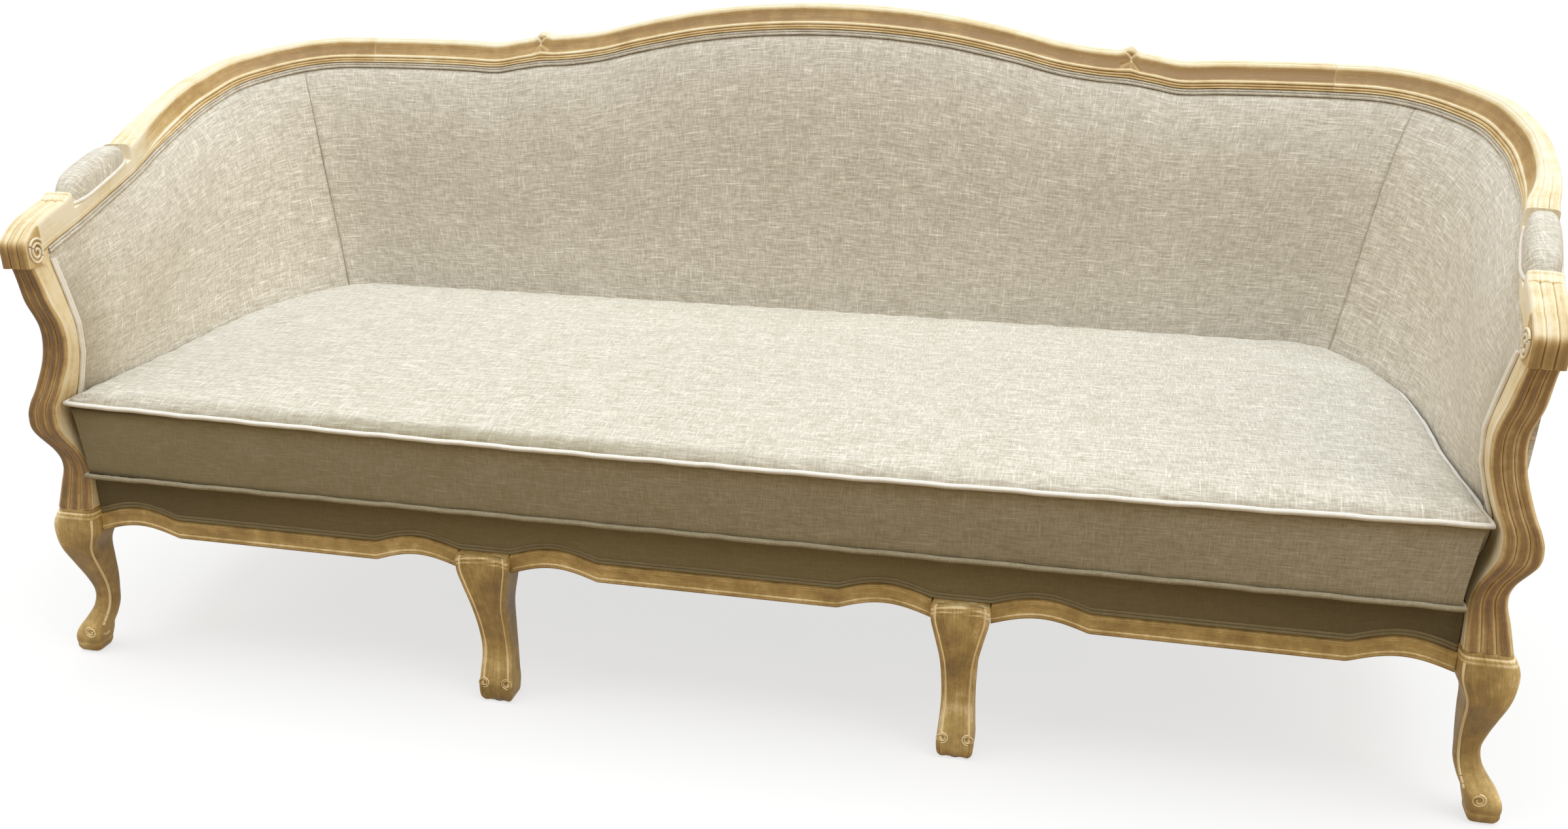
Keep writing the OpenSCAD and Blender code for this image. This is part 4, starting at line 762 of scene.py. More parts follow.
def finish(material, *names):
    """Give CAD nodes that keep their shape their material."""
    for name in names:
        nodes[name].data.materials.clear()
        nodes[name].data.materials.append(material)


finish(oak_legs_plain, "rear_corner_leg_left", "rear_corner_leg_right", "rear_mid_leg_left",
       "rear_mid_leg_right")
# The side and rear seat rails show a band of the same oak under the outer covers
finish(limed_oak("oak_limed_side_rails", LEG_TONES, PLAIN_LIME, 1), "side_seat_rail_left",
       "side_seat_rail_right")
finish(limed_oak("oak_limed_rear_rails", LEG_TONES, PLAIN_LIME, 0), "rear_seat_rails")

# ---- Front rail
# Three lengths of moulded oak between the legs, each rising in a scallop beside a leg, with a
# double line along the top edge and a rubbed bead near the bottom. The deck's border is tacked
# above them.
SHOW_PROUD = 8
SHOW_Y = FRONT_Y - SHOW_PROUD
RAIL_BACK_Y = TACK_Y + SEAT_RAIL_T


def apron_low(x):
    """Height of the front rail's lower edge over places x: level, with half a sine wave beside
    each leg."""
    x = np.abs(np.asarray(x, float))
    near = np.where(x < MID_LEG_X, MID_LEG_IN - x, np.minimum(x - MID_LEG_OUT, APRON_END - x))
    return LEG_H + SCALLOP_RISE * np.sin(np.pi * np.clip(near / SCALLOP_W, 0, 1))


# Columns: mm behind the show face, mm over the lower edge, lime, 1 where at the rail's top
apron_section = np.array([
    [46, 1, .1, 0], [46, 15, .1, 0], [50, 0, .1, 1], [14, 0, .1, 1], [12, 31, .2, 0],
    [4, 30.4, .25, 0], [2.2, 30, .35, 0], [0.6, 29.2, .45, 0], [0.1, 28.2, .5, 0],
    [0.3, 27, .42, 0], [1.2, 26.2, .6, 0], [1.3, 25.8, .65, 0], [0.9, 25, .5, 0], [0.8, 24, .42, 0],
    [1.1, 22.2, .5, 0], [1.6, 20.5, .5, 0], [2.1, 17, .5, 0], [2.1, 13, .5, 0],
    [1.8, 10, .5, 0], [1.9, 8.8, .5, 0], [2.1, 8.2, .95, 0], [0.9, 7.4, .7, 0], [0.1, 6, .5, 0],
    [0.5, 4.6, .6, 0], [1.6, 3.7, .9, 0], [1.7, 3.2, .8, 0], [1.2, 2.4, .4, 0], [1.4, 1, .35, 0],
    [2.4, 0, .3, 0], [20, 0, .1, 0]])
behind, over, wax, at_top = apron_section.T
for name, x0, x1 in (("left", -APRON_END, -MID_LEG_OUT), ("center", -MID_LEG_IN, MID_LEG_IN),
                     ("right", MID_LEG_OUT, APRON_END)):
    x = np.linspace(x0 + FIT, x1 - FIT, 130)[:, None]
    rings = points(x, SHOW_Y + behind, np.where(at_top > 0, RAIL_TOP, apron_low(x) + over))
    dress(f"front_rail_{name}_moulded", ring_patches(rings, wax + 0.06), oak_legs,
          "limed_oak_dark", f"front_rail_{name}")

# ---- Seat frame
# Beech rails, blocks and uprights, sawn and glued, with screws, dowels and sprung wire: hidden
# once the sofa is covered, so they keep the shape they were built with.
material, tree = new_material("beech_sawn")
place = add_node(tree, "TexCoord").outputs["Object"]
# Grain lines 4 mm apart and 60 mm long
grain = add_node(tree, "TexNoise", {
    "Vector": add_node(tree, "Mapping", {"Vector": place, "Scale": (16, 250, 250)}),
    "Scale": 1.0, "Detail": 4.0})
colour = add_node(tree, "ValToRGB", {0: grain}, [(0.3, "#b98f5f"), (0.6, "#d2ab7b"),
                                                 (0.8, "#dcbb91")])
surface(tree, colour, grain, 0.2, 0.0005, Roughness=0.65)
finish(material, "seat_cross_rails", "corner_blocks", "frame_dowels", "back_uprights",
       "side_uprights", "back_stretchers")


def simple(name, low, high, scale, rough, metal=0.0):
    """A material of two close tones in a fine noise, for small parts that hardly show."""
    material, tree = new_material(name)
    place = add_node(tree, "TexCoord").outputs["Object"]
    noise = add_node(tree, "TexNoise", {"Vector": place, "Scale": scale, "Detail": 3.0})
    colour = add_node(tree, "ValToRGB", {0: noise}, [(0.35, low), (0.65, high)])
    surface(tree, colour, noise, 0.15, 0.0003, Roughness=rough, Metallic=metal)
    return material


# Zinc-plated steel, grain 3 mm; black nylon, grain 1 mm; open-cell foam, cells 2 mm
steel = simple("steel_zinc_plated", "#8f9092", "#b4b5b6", 330.0, 0.38, 1.0)
finish(steel, "block_screws", "seat_springs", "spring_clips", "zip_slider")
finish(simple("nylon_moulded_black", "#1f1e1d", "#2b2a28", 1000.0, 0.5), "foot_glides")
foam = simple("foam_open_cell", "#e3d6b4", "#f0e6cb", 500.0, 0.95)

# ---- Back and side pads
# Slubby linen pulled tight over foam and tacked under the rails; two machine-sewn seams in the
# corners join the sides to the back.
POST_STEP, TOP_GAP, WELT_D, PAD_SWELL, WALL_T, COVER_T = 1, 0.8, 5.6, 25.5, 88, 2.6
PAD_LOW_T, PAD_TOP_T, FRAME_GAP, COVER_IN, CUSHION_T, CORD_D = 45, 22, 14, 3, 127, 4.5
# Depths of the broad dip, the narrow dip and the folds at a corner seam; a stop in mm there; the
# level of the pads' lower edge; and a yarn's step through the noise
BROAD_DIP, SEAM_DIP, SEAM_FOLD, STOP_MM, LOW_V, YARN_STEP = 1.6, 2.4, 1.1, 58.0, -0.965, 2.37
DECK_T = 23.4
DECK_TOP = SEAT_H - CUSHION_T - FIT


def linen(name, ground, thread, weft=0.4):
    """Plain-woven slub linen: thick pale yarns both ways on a greige ground of finer ones. A
    yarn is one step of a coordinate rounded to whole yarns, with noise along its length."""
    material, tree = new_material(name)
    uv = add_node(tree, "UVMap", uv_map="run")
    # Lengths along and widths across in mm, where a yarn starts to show pale, where it is full,
    # and its share: fine weft and warp yarns, thicker slubs, and a faint cloud 90 mm across. The
    # yarns are drawn about twice as wide as real ones so that they show
    tone = 0.0
    for along, across, low, high, share in (
            (24, 1.5, 0.34, 0.66, 0.36), (1.5, 16, 0.34, 0.66, 0.28), (50, 1.7, 0.56, 0.74, weft),
            (1.7, 36, 0.57, 0.76, 0.36), (90, 80, 0.3, 0.7, 0.05)):
        # Across a yarn the noise jumps by YARN_STEP; along it, it runs smoothly
        steps = [1000 * YARN_STEP / size if size < 2 else 1000 / size for size in (along, across)]
        whole = [YARN_STEP if size < 2 else 0.001 for size in (along, across)]
        at = add_node(tree, "VectorMath", {
            0: add_node(tree, "Mapping", {"Vector": uv, "Scale": (*steps, 1)}),
            1: (*whole, 1)}, operation="SNAP")
        yarn = add_node(tree, "TexNoise", {"Vector": at, "Scale": 1.0, "Detail": 2.0})
        shown = add_node(tree, "MapRange", {"Value": yarn, "From Min": low, "From Max": high})
        tone = add_node(tree, "Math", {0: shown, 1: share, 2: tone}, operation="MULTIPLY_ADD")
    colour = add_node(tree, "ValToRGB", {0: tone}, [(0.0, ground), (1.0, thread)])
    # Painted shade: lime 0.5 is the plain colour, less is a browner painted shade, and 0 is
    # the dark of a shaded crease
    wax = add_node(tree, "Attribute", attribute_name="lime").outputs["Fac"]
    plain = add_node(tree, "MapRange", {"Value": wax, "From Max": 0.5})
    brown = add_node(tree, "ValToRGB", {0: wax}, [(0.0, "#3a3220"), (0.08, "#837850")])
    colour = add_node(tree, "Mix", {0: plain, 6: brown, 7: colour}, data_type="RGBA").outputs[2]
    # Yarns over and under each other every 2.4 mm, also drawn coarse
    over = [add_node(tree, "TexWave", {"Vector": uv, "Scale": 131.0, "Distortion": 0.6},
                     wave_type="BANDS", bands_direction=way) for way in ("X", "Y")]
    weave = add_node(tree, "Math", {0: over[0], 1: over[1], 2: tone}, operation="MULTIPLY_ADD")
    surface(tree, colour, weave, 0.3, 0.0008, Roughness=0.92, Sheen_Weight=0.15,
            Sheen_Roughness=0.5, Specular_IOR_Level=0.25)
    return material


linen_pads = linen("linen_slub_greige", "#ada594", "#fffbf1")


def wall_low(t):
    """Thickness of the wall at the seat, which shrinks to the post's at the arm's end."""
    return WALL_T + (POST_W + 5 - WALL_T) * ramp(np.abs(t), 17.5, 23.5)


def wall_out(t, v):
    """How far out the wall's outside lies: full thickness at the seat, the rail's at the top."""
    return wall_low(t) + (rail_w(t) - COVER_IN - wall_low(t)) * np.clip(v, 0, 1)


def pad_back(t, v):
    """How far out the pad's back lies, leaving room for the frame inside the wall."""
    plain = PAD_LOW_T + (PAD_TOP_T - PAD_LOW_T) * np.clip(v, 0, 1)
    return np.minimum(plain, wall_out(t, v) - COVER_T - 2 * FIT - FRAME_GAP)


def welt_v(t):
    """Level of the welt's lower edge at stops t, where the pad's face ends."""
    return 1 - (2 * CORD_D + 1.2) / (rail_at(t)[..., 2] - SEAT_H)


def near_post(t):
    """0 where the wall is free to 1 at the post."""
    return ramp(np.abs(t), BOW_STOP, POST_STOP)


def wall_points(t, v, n):
    """Points of the wall at stops t (down) and levels v (across), n outwards: on the line from
    seat to rail, below the seat straight down, and bowed with the post near the arm's end."""
    t, up = t[:, None], np.maximum(v, 0)
    b, r, o = seat_at(t), rail_at(t), outward(t)
    p = b + (r[..., :2] - b) * up[..., None] + o * n[..., None]
    z = np.where(v < 0, SEAT_H - (SEAT_H - RAIL_TOP - FIT) * -v,
                 SEAT_H + (r[..., 2] - TOP_GAP - SEAT_H) * up)
    seat_x, rail_x = seat_at(POST_STOP)[0], rail_at(POST_STOP)[0]
    bow = near_post(t) * np.sign(t) * (
        post_edge(z, 1) + POST_STEP - seat_x - (rail_x - seat_x) * up)
    return points(p[..., 0] + bow, p[..., 1], z)


def wall_panel(t, face_v, face_n, back_v, back_n, at_post=False):
    """Closed rings of a panel in the wall: its back going up, then its face coming down."""
    rings = np.concatenate([wall_points(t, back_v, back_n),
                            wall_points(t, face_v[:, ::-1], face_n[:, ::-1])], 1)
    if at_post:
        rings[-1, :, 1] = post_back(rings[-1, :, 2]) + FIT
    return rings


# Levels of a pad's face: below 0 down to the deck, up to 1 to the welt, then behind it
WELT_SPAN = 0.15
grade = np.concatenate([np.linspace(LOW_V, -0.02, 9), np.linspace(0, 0.86, 44),
                        np.linspace(0.875, 1.0, 16), np.linspace(1.005, 1 + WELT_SPAN, 8)])


def pad_rings(t, at_post=False):
    """Rings of a pad: the face swells in half a sine to a power, rolls in behind the welt, and
    dips beside the corner seam with small pulled folds."""
    top = welt_v(t)[:, None]
    v = np.where(grade < 0, grade, np.where(grade <= 1, grade * top,
                                            top + (1 - top) * (grade - 1) / WELT_SPAN))
    at = np.abs(t)[:, None]
    swell = np.sin(np.pi * np.clip((grade - 0.03) / 0.965, 0, 1) ** 1.9) ** 0.8
    along = (at - SEAM_STOP) * STOP_MM
    low = 1 - 0.75 * ramp(grade, 0.72, 0.97)
    dip = SEAM_DIP * np.exp(-np.abs(along) / 5) + BROAD_DIP * bell(along, 0, 42)
    folds = SEAM_FOLD * np.sin(34 * grade + 0.05 * along) * np.exp(-np.abs(along) / 34)
    waves = 1.1 * np.sin(t[:, None] * 1.3 + 5 * grade) * np.sin(np.pi * np.clip(grade, 0, 1))
    n = (-PAD_SWELL * swell * (1 - ramp(at, 21, 23.4)) + waves
         + (dip + folds) * low * ramp(grade, -0.05, 0.1))
    lean = ((rail_at(t)[:, :2] - seat_at(t)) * outward(t)).sum(1)[:, None]
    tucked = CORD_D * 0.75 + lean * (1 - v) + 2 * near_post(at)
    k = ramp(grade, 0.985, 1.015)
    n = n * (1 - k) + tucked * k
    back_v = np.broadcast_to(np.linspace(LOW_V, 1, 10), (len(t), 10))
    # Dark in the stitches of the corner seam, and painted shade where the cloth turns in beside the
    # post
    post_shade = bell(at, POST_STOP, 0.9) * ramp(1 - grade, 0, 0.3)
    lime = 0.5 - 0.2 * np.exp(-np.abs(along) / 2.0) - 0.24 * post_shade
    lime = np.concatenate([np.full(back_v.shape, 0.5), lime[:, ::-1]], 1)
    return wall_panel(t, v, n, back_v, pad_back(t[:, None], back_v), at_post), lime


back_stops = np.concatenate([[-SEAM_STOP, 0.04 - SEAM_STOP],
                             np.linspace(0.09 - SEAM_STOP, SEAM_STOP - 0.09, 300),
                             [SEAM_STOP - 0.04, SEAM_STOP]])
dress("back_pad_linen", ring_patches(*pad_rings(back_stops)), linen_pads, "linen",
                "back_pad")
side_pad = ring_patches(*pad_rings(np.concatenate([
    [SEAM_STOP + 2 * JOINT, SEAM_STOP + 0.04], np.linspace(SEAM_STOP + 0.09, 14, 22),
    np.linspace(14.08, POST_STOP, 110)]), True))
for pad in dress_pair("side_pad_{}_linen", side_pad, linen_pads, "linen", "side_pad_{}"):
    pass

# ---- Welts
# Double welt: two cords sewn side by side in a strip of the linen, glued over the tacks where a
# pad meets the rails, the posts and the front rail.
# A paler copy of the pads' linen: painted light on the cords
linen_welts_lit = linen("linen_slub_welting_lit", "#e6e2d9", "#fbfaf6", 0.3)


def welt_pair(path, offset, radius, wax=0.5):
    """Patches of two cords side by side along path, each offset a radius to its side."""
    return [p for way in (-1, 1) for p in ring_patches(tube(path + offset * way, radius, 12), wax)]


half = np.linspace(0, POST_STOP - 0.05, 330)
t = np.concatenate([-half[:0:-1], half])
p, o = rail_at(t), outward(t)
shift = np.sign(t) * near_post(t) * (
    post_edge(p[:, 2], 1) + POST_STEP - rail_at(POST_STOP)[0])
path = points(p[:, 0] + o[:, 0] * 0.8 + shift, p[:, 1] + o[:, 1] * 0.8,
              p[:, 2] - TOP_GAP - CORD_D)
step = points(o[:, 0] * 0.9, o[:, 1] * 0.9, CORD_D / 2)
dress("back_welt_cords", welt_pair(path, step, CORD_D / 2), linen_pads, "linen", "back_welt")
z = np.linspace(DECK_TOP + WELT_D, rail_at(POST_STOP)[2] - 3 * WELT_D, 90)
path = points(post_edge(z, 1) - 3.0, post_back(z) + 1.2, z)
pair = welt_pair(path, np.array([0, WELT_D / 2, 0]), 2.5)
dress("post_welt_cords", pair + mirrored(pair), linen_welts_lit, "linen", "post_welts")

# ---- Outer covers
# Linen stretched over the outside of the back and arms and hand-sewn under the rails: a thin
# skin that dips slightly between the frame's members.
COVER_LOW = -(SEAT_H - LEG_TOP) / (SEAT_H - RAIL_TOP)
COVER_DIP = 1.6


def cover_rings(t, at_post=False):
    """Rings of an outer cover: the wall's outside with a shallow hollow between its edges."""
    v = np.broadcast_to(np.concatenate([np.linspace(COVER_LOW, 0, 12)[:-1],
                                        np.linspace(0, 1, 26)]), (len(t), 37))
    u = (v - COVER_LOW) / (1 - COVER_LOW)
    dip = COVER_DIP * np.sin(np.pi * u) * (0.6 + 0.4 * np.sin(t * 0.9)[:, None] ** 2)
    out = wall_out(t[:, None], v) - dip * 0.5
    return wall_panel(t, v, out - COVER_T + dip * 0.2, v, out, at_post)


linen_cover = linen("linen_slub_outside", "#aaa291", "#f6f2e8")
rings = cover_rings(np.linspace(-SEAM_STOP, SEAM_STOP, 220))
dress("outer_back_cover_linen", ring_patches(rings, 0.5), linen_cover, "linen_cover",
                "outer_back_cover")
rings = cover_rings(np.linspace(SEAM_STOP + 2 * JOINT, POST_STOP, 120), True)
for cover in dress_pair("outer_side_cover_{}_linen", ring_patches(rings, 0.5), linen_cover,
                        "linen_cover", "outer_side_cover_{}"):
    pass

# Three bands of jute webbing behind the back pad
material, tree = new_material("jute_webbing")
uv = add_node(tree, "UVMap", uv_map="run")
# Warp yarns 3 mm apart
weave = add_node(tree, "TexWave", {"Vector": uv, "Scale": 105.0, "Distortion": 0.8},
                 wave_type="BANDS", bands_direction="Y")
colour = add_node(tree, "ValToRGB", {0: weave}, [(0.2, "#8f7650"), (0.8, "#b59a6e")])
surface(tree, colour, weave, 0.4, 0.0008, Roughness=0.95)
WEB_STOP, WEB_SPAN, WEB_T = 10.14, 0.12, 1.6
bands, t = [], np.linspace(-WEB_STOP, WEB_STOP, 160)
for low in (0.08, 0.38, 0.68):
    v = np.broadcast_to(np.linspace(low, low + WEB_SPAN, 4), (160, 4))
    n = pad_back(t[:, None], v) + 0.4
    bands += ring_patches(wall_panel(t, v, n, v, n + WEB_T), 0.5)
dress("back_webbing_jute", bands, material, "webbing", "back_webbing")

# ---- Arm pads
# Small oval pads of the linen over foam, tacked into a recess of the arm rail, with a cord of
# piping round the edge.
ARM_PAD_H, ARM_PAD_CORNER, ARM_PAD_EDGE, ARM_PAD_SHARE, ARM_CORD_R = 40, 3.4, 2.5, 0.54, 3.0
turn_at = np.linspace(0, 2 * np.pi, 72, endpoint=False)
MID_T, HALF_T = (PAD_REAR + PAD_FRONT) / 2, (PAD_FRONT - PAD_REAR) / 2 - 0.07


def arm_spot(share, across, height):
    """Points over the arm rail: share along the recess (-1 to 1), across from its middle."""
    t = MID_T + share * HALF_T
    p, o, w = rail_at(t), outward(t), rail_w(t)
    n = w * (0.5 + across)
    return points(p[..., 0] + o[..., 0] * n, p[..., 1] + o[..., 1] * n,
                  p[..., 2] + PAD_SEAT_H + FIT + height)


def oval(scale, height):
    """One ring of the pad: a superellipse in plan, scaled about the middle."""
    across, along = superellipse(turn_at, ARM_PAD_CORNER)
    return arm_spot(-along * scale, -ARM_PAD_SHARE * across * scale, height)


# The crown draws in by a cosine to a power while it rises by a sine to a power
rings = [oval(0.9, 0), oval(0.95, 1.5)]
rings += [oval(np.cos(0.5 * np.pi * s) ** 0.55 if s < 1 else 0.02,
               ARM_PAD_EDGE + (ARM_PAD_H - ARM_PAD_EDGE) * np.sin(0.5 * np.pi * s) ** 0.7)
          for s in np.linspace(0, 1, 22)]
rings = closed(np.array(rings))
# The weave is laid out from the pad's crown: each point's way from it, at its length there
steps = np.linalg.norm(np.diff(rings, axis=0), axis=2)
from_crown = np.concatenate([np.cumsum(steps[::-1], 0)[::-1], 0 * steps[:1]])
plan = rings[..., :2] - rings[-1, :, :2].mean(0)
plan /= np.linalg.norm(plan, axis=2, keepdims=True).clip(1e-6)
arm_pad = ring_patches(rings[:, :-1], 0.5, plan * from_crown[..., None])
for pad in dress_pair("arm_pad_{}_linen", arm_pad, linen_pads, "linen", "arm_pad_{}"):
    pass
cord = ring_patches(tube(oval(1.0, ARM_CORD_R), ARM_CORD_R, joined=True), 0.5, caps=False)
dress_pair("arm_pad_{}_piping", cord, linen_welts_lit, "linen")

# ---- Seat deck
# Foam over zigzag springs under a plain deck cloth; its front edge is a padded border tacked to
# the front rail under a double welt.
DECK_CLEAR = 1.6
t = np.concatenate([np.linspace(23, SEAM_STOP, 80), [12, 11]])
edge = seat_at(t) - outward(t) * DECK_CLEAR
edge[:, 1] = np.minimum(edge[:, 1], FRONT_Y + SEAT_RUN - DECK_CLEAR)
deck_x = post_edge(RAIL_TOP, 1) - 2 * DECK_CLEAR
edge = np.concatenate([[[deck_x, TACK_Y]], edge[edge[:, 1] > TACK_Y + 5]])
edge[:, 0] = np.minimum(edge[:, 0], deck_x)
edge = edge[np.argsort(edge[:, 1])]


def slab(line, low, high, back):
    """Patches of a flat slab inside the seat: rows across, close together at the front and at
    the back, each as wide as the outline there."""
    y = line[0, 1] + (back - line[0, 1]) * (1 - np.cos(np.linspace(0, np.pi, 70))) / 2
    x = np.interp(y, line[:, 1], line[:, 0])[:, None] * np.linspace(-1, 1, 60)
    return ring_patches(np.concatenate([points(x, y[:, None], high),
                                        points(x, y[:, None], low)[:, ::-1]], 1), 0.5)


CLOTH_T = 1.4
padding = slab(edge, DECK_TOP - DECK_T, DECK_TOP - CLOTH_T, edge[-1, 1])
dress("deck_foam", padding, foam, "foam", "deck_pad")
cloth = slab(edge, DECK_TOP - CLOTH_T, DECK_TOP, edge[-1, 1])
dress("deck_cloth_linen", cloth, linen_cover, "linen_cover", "deck_cloth")

BORDER_T, BORDER_ROLL = 9, 3.2
border_half = float(post_edge(DECK_TOP - BAND_H, 1)) - DECK_CLEAR
x = np.linspace(-border_half, border_half, 420)


def band_top(x):
    """Top edge of the front rail's band, level over the legs."""
    ax = np.abs(x)
    over_leg = (np.abs(ax - MID_LEG_X) < MID_LEG_W / 2) | (ax > APRON_END)
    return np.where(over_leg, LEG_H, apron_low(x)) + BAND_H


low = (band_top(x) + 2 * WELT_D + 2 * FIT)[:, None]
s = np.linspace(0, 1, 14)
bulge = np.sin(np.pi * np.clip(s * 0.96 + 0.02, 0, 1)) ** 0.5
face = points(x[:, None], TACK_Y - FIT - BORDER_T + BORDER_ROLL * (1 - bulge),
              low + (DECK_TOP - low) * s)
back = face[:, [-1, 0]] * [1, 0, 1] + [0, TACK_Y - FIT, 0]
rings = np.concatenate([back[:, ::-1], face[:, ::-1]], 1)
# Brown in the cushion's shade, most at the ends
border = ring_patches(rings, (0.075 - 0.04 * (x / border_half) ** 2)[:, None])
dress("deck_border_linen", border, linen_pads, "linen_cover", "deck_border")
path = points(x, TACK_Y - FIT - BORDER_T / 2, band_top(x) + WELT_D + FIT)
# The cords are brown with painted shade under the cushion
cords = welt_pair(path, np.array([0, 0, WELT_D / 2]), 2.75, 0.1)
dress("deck_welt_cords", cords, linen_pads, "linen", "deck_welt")

# Black cambric dust cover, stapled inside the seat frame from below
t = np.concatenate([np.linspace(23, SEAM_STOP, 60), [12, 11]])
post_shift = float(post_edge(RAIL_TOP, 1)) - seat_at(POST_STOP)[0]
rail_out = wall_low(t) - COVER_T - FIT + post_shift * near_post(t)
line = seat_at(t) + outward(t) * (rail_out - SEAT_RAIL_T - FIT)[:, None]
line = line[line[:, 1] > RAIL_BACK_Y + 12]
line = np.concatenate([[[line[0, 0], RAIL_BACK_Y + FIT]], line])
line = line[np.argsort(line[:, 1])]
REAR_RAIL_T, DUST_T = 50, 1
dust_back = FRONT_Y + SEAT_RUN + WALL_T - COVER_T - FIT - REAR_RAIL_T - 1
dust = slab(line, LEG_TOP - DUST_T - FIT, LEG_TOP - FIT, dust_back)
cambric = simple("cambric_black", "#17161a", "#242226", 700.0, 0.95)
dress("dust_cover_cambric", dust, cambric, "dust_cloth", "dust_cover")

# ---- Bench cushion
# One loose cushion of foam wrapped in wadding inside a zipped linen case: crowned top, drawn-in
# boxing, pointed front corners, and a piping cord sewn into both seams.
PIPING_R, CROWN_H, FRONT_EDGE, FRONT_BOW, BOTTOM_IN, ROLL_IN = 4, 20, 31, 12, 15, 30
EAR_X = float(post_edge(SEAT_H, 1)) - 2 * PIPING_R - 2
CASE_GAP, SIDE_IN, BACK_CLEAR, FRONT_SAG = 2 * PIPING_R + 3.5, 4.5, 10, 5
BACK_SEAM = FRONT_Y + SEAT_RUN - BACK_CLEAR
MID_Y = FRONT_Y + SEAT_RUN / 2
t = np.linspace(24, 12, 240)
side_seam = seat_at(t) - outward(t) * CASE_GAP
side_seam = np.stack([np.minimum(side_seam[:, 0], EAR_X - SIDE_IN),
                      np.minimum(side_seam[:, 1], BACK_SEAM)], -1)
front_y = FRONT_Y - FRONT_EDGE
half_seam = np.concatenate([[[0, front_y], [EAR_X, front_y]], side_seam, [[0, BACK_SEAM]]])
half_seam = np.concatenate([resample(half_seam[:2], 110), resample(half_seam[1:], 230, True)])
seam = np.concatenate([half_seam, half_seam[-2:0:-1] * [-1, 1]])
arc = np.concatenate([[0], np.cumsum(np.linalg.norm(np.diff(seam, axis=0), axis=1))])


def loop_out(line):
    """Unit vectors outwards, square to a closed line in plan."""
    way = np.roll(line, -1, 0) - np.roll(line, 1, 0)
    return unit(np.stack([way[:, 1], -way[:, 0]], -1))


seam_reach = ((seam - [0, MID_Y]) * loop_out(seam)).sum(1)


def crown(x, y, share):
    """Rise of the cushion's top over its seam in mm: a pillow, the fourth and fifth powers of
    the way out, on a rolled edge that rises from the seam as a quarter of an ellipse."""
    a = np.clip(np.abs(x) / EAR_X, 0, 1)
    b = np.clip(np.abs(y - MID_Y) / (SEAT_RUN / 2 + FRONT_EDGE), 0, 1)
    roll = np.sqrt(1 - np.clip(1 - (1 - share) * seam_reach / ROLL_IN, 0, 1) ** 2)
    return CROWN_H * (0.4 * (1 - a ** 5) * (1 - b ** 4) + 0.8 * roll)


def ripple(s, *waves):
    """Sum of sines along s, each of a length, height and start."""
    return sum(h * np.sin(2 * np.pi * s / length + start) for length, h, start in waves)


def cushion_ring(drop, share):
    """The seam line lowered by drop (0 top seam, 1 bottom seam) and scaled about the middle.
    The ends draw in downwards and the front bows out upwards."""
    x0, y0 = seam[:, 0], seam[:, 1]
    end = np.sign(x0) * ramp(np.abs(x0) / EAR_X, 0.86, 0.97)
    x = (x0 - end * BOTTOM_IN * drop) * share
    bow = np.where(y0 < FRONT_Y, FRONT_BOW * (1 - drop) * (1 - (x0 / EAR_X) ** 2), 0)
    y = MID_Y + (y0 - bow - MID_Y) * share
    return x, y


def front_dip(x, y):
    """The front seam hangs a little lower in the middle than at its corners."""
    return FRONT_SAG * (1 - np.clip(np.abs(x) / EAR_X, 0, 1) ** 2) * ramp(-y, -FRONT_Y - 150,
                                                                        -front_y)


LOW_Z = DECK_TOP + FIT + PIPING_R * 0.4
# How much stronger the top's puckers are, how far the boxing sinks in and comes out beside the
# top and bottom seams, the shade there, and the step up from the underside
PUCKER, BOX_SINK, TOP_OUT, LOW_OUT, SEAM_SHADE, LOW_STEP = 2.2, 2.2, 1.8, 3.0, 0.2, 2
pucker = ripple(arc, (37, 0.35, 0), (53, 0.4, 1.1), (83, 0.5, 2.3))
# Underside: flat rings out to the bottom seam
under = closed(points(*cushion_ring(1, np.array([[0.0], [0.4], [0.8], [0.95], [0.985]])), LOW_Z))
# Boxing: rings from the bottom seam up, drawn in between the seams, with waves at the front
drop = np.linspace(1, 0, 20)[:, None]
x, y = cushion_ring(drop, 0.996 + 0.004 * (2 * drop - 1) ** 4)
soft = np.sin(np.pi * drop)
wave = ripple(arc, (210, 0.9, 0.4), (130, 0.6, 1.9), (71, 0.3, 0.2)) * soft
y = y + ramp(-y, -FRONT_Y - 40, -FRONT_Y) * (
    TOP_OUT * np.exp(-drop * 14) + LOW_OUT * np.exp((drop - 1) * 22) - BOX_SINK * soft - wave
    - pucker * (np.exp(-drop * 9) + np.exp(-(1 - drop) * 9)))
boxing = closed(points(x, y, LOW_Z + LOW_STEP * (drop > 0.999) + (SEAT_H - LOW_Z) * (1 - drop)
                       - front_dip(x, y) * (1 - drop)))
# Painted shade: the boxing is browner, more so at its left end, and dark where it turns in beside
# each cord
side = boxing[..., 0] / EAR_X
box_shade = (0.2 + 0.04 * side - 0.09 * np.minimum(side, 0) ** 2
            - SEAM_SHADE * (np.exp(-drop * 22) + np.exp((drop - 1) * 22)))
# Top: rings from the top seam in to the middle, crowned, with puckers beside the seam
share = np.concatenate([1 - np.array([0, .004, .009, .015, .022, .031, .042, .056, .074]),
                        np.linspace(0.9, 0.04, 30), [0.0]])[:, None]
x, y = cushion_ring(0, share)
inside = (1 - share) * seam_reach
broad = ripple(x + 0.4 * y, (760, 1.3, 0.3), (430, 0.8, 2.0)) * np.cos(y / 170)
top = closed(points(x, y, SEAT_H + crown(x, y, share) + broad * (1 - np.exp(-inside / 60))
                    + PUCKER * pucker * (np.exp(-inside / 22) - np.exp(-inside / 3))
                    - front_dip(x, y)))
# The front roll hangs over and is browner with painted shade, most where the front bows, and darker
# along the seam
roll_shade = bell(x / EAR_X, -0.35, 0.5) * ramp(-y, -FRONT_Y - 20, -FRONT_Y)
top_shade = 0.5 - 0.26 * roll_shade * (1 - ramp(inside, 10, 26)) - 0.1 * np.exp(-inside / 2)

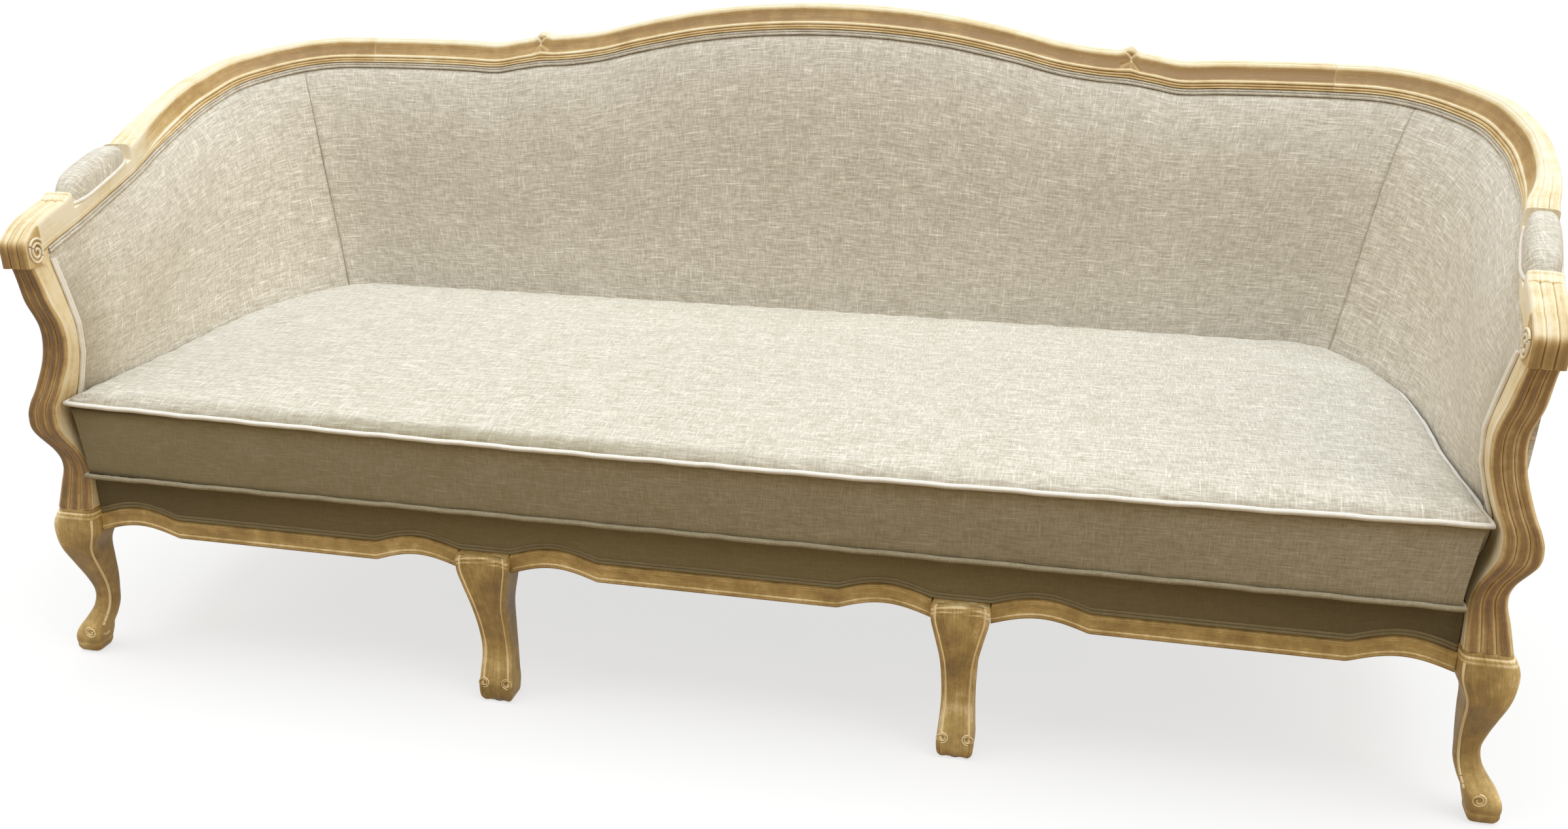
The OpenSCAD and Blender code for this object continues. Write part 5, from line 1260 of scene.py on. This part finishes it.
perimeter = arc[-1] + np.linalg.norm(seam[0] - seam[-1])
box_uv = np.stack(np.broadcast_arrays(np.append(arc, perimeter), boxing[..., 2]), -1)
patches = [(under, 0.5, under[..., :2]), (boxing, box_shade, box_uv),
           (np.stack([under[-1], boxing[0]]), 0.5, None), (top, closed(top_shade), top[..., :2])]
dress("bench_cushion_case", patches, linen_pads, "linen", "cushion_case",
                "cushion_core", body="seat_cushion", sharp=50.0)


def seam_cord(drop, z, wax):
    """A closed cord CORD_OUT outside the seam at one edge of the boxing, with a slight wobble."""
    x, y = cushion_ring(drop, 1)
    line = np.stack([x, y], -1)
    line = line + loop_out(line) * CORD_OUT
    wobble = ripple(arc, (61, 0.25, 0.5), (140, 0.5, 1.5))
    path = np.column_stack([line, z + wobble - front_dip(x, y) * (1 - drop)])
    return ring_patches(tube(path, PIPING_R, 12, joined=True), wax, caps=False)


CORD_OUT = 3.0
dress("cushion_piping_top_cord", seam_cord(0, SEAT_H, 0.5), linen_welts_lit, "linen",
      "cushion_piping_top", body="seat_cushion")
# The lower cord hangs in the shade and is as brown as the boxing
cord = seam_cord(1, DECK_TOP + FIT + PIPING_R + 0.6, 0.17)
dress("cushion_piping_bottom_cord", cord, linen_pads, "linen", "cushion_piping_bottom",
      body="seat_cushion")

# Zip: a woven tape with a nylon coil, in the back boxing
material, tree = new_material("zip_tape_and_coil")
place = add_node(tree, "TexCoord").outputs["Object"]
# Coil turns every 2.4 mm along X
coil = add_node(tree, "TexWave", {"Vector": place, "Scale": 131.0},
                wave_type="BANDS", bands_direction="X")
colour = add_node(tree, "ValToRGB", {0: coil}, [(0.2, "#8d8271"), (0.7, "#b9ae9b")])
surface(tree, colour, coil, 0.5, 0.0006, Roughness=0.6)
finish(material, "cushion_zip")

# ---- Floor, light and background
# A pale floor that looks white to the camera and still shows a faint shadow. To all other rays it
# is a warm mid tone, as a room's floor is, and the world behind is white.
HALF_FLOOR = 40
floor_mesh = bpy.data.meshes.new("studio_floor")
floor_mesh.from_pydata([(x * HALF_FLOOR, y * HALF_FLOOR, 0)
                        for x, y in ((-1, -1), (1, -1), (1, 1), (-1, 1))], [], [(0, 1, 2, 3)])
floor = bpy.data.objects.new("studio_floor", floor_mesh)
bpy.context.collection.objects.link(floor)


def shows_plain(tree):
    """1 for rays that look at the background: from the camera, and in gloss and glass."""
    rays, most = add_node(tree, "LightPath").outputs, 0.0
    for kind in ("Is Camera Ray", "Is Glossy Ray", "Is Transmission Ray"):
        most = add_node(tree, "Math", {0: rays[kind], 1: most}, operation="MAXIMUM")
    return most


material, tree = new_material("pale_floor")
seen = shows_plain(tree)
pale = add_node(tree, "BsdfDiffuse", {0: hex_rgb("#f9f9f8")})
glow = add_node(tree, "Emission", {0: (1, 1, 1, 1), 1: 1.0})
GLOW_SHARE = 0.7
shown = add_node(tree, "MixShader", {0: GLOW_SHARE, 1: pale, 2: glow})
bounce = add_node(tree, "BsdfDiffuse", {0: hex_rgb("#8c7552")})
both = add_node(tree, "MixShader", {0: seen, 1: bounce, 2: shown})
add_node(tree, "OutputMaterial", {0: both})
floor_mesh.materials.append(material)

world = bpy.data.worlds.new("studio")
bpy.context.scene.world = world
world.use_nodes = True
tree = world.node_tree
tree.nodes.clear()
seen = shows_plain(tree)
soft = add_node(tree, "Background", {0: hex_rgb("#fbe2bc"), 1: 0.21})
white = add_node(tree, "Background", {0: (1, 1, 1, 1), 1: 1.0})
both = add_node(tree, "MixShader", {0: seen, 1: soft, 2: white})
add_node(tree, "OutputWorld", {0: both})
# Soft ceiling panels, and a soft box at each side and behind: name, way to it, strength, colour
for name, way, strength, tint in (("ceiling_panels", (0.05, -0.03, 1), 2.55, "#e3f2ff"),
                                  ("right_softbox", (0.8, -0.2, 0.5), 1.5, "#fff4e4"),
                                  ("left_softbox", (-0.8, -0.2, 0.5), 1.15, "#fff4e4"),
                                  ("rear_softbox", (0, 0.85, 0.35), 0.55, "#fffaf2")):
    light = bpy.data.lights.new(name, "SUN")
    light.energy, light.angle, light.color = strength, math.radians(60), hex_rgb(tint)[:3]
    lamp = bpy.data.objects.new(name, light)
    lamp.rotation_euler = Vector(way).to_track_quat("Z", "Y").to_euler()
    bpy.context.collection.objects.link(lamp)
bpy.context.scene.view_settings.view_transform = "Standard"
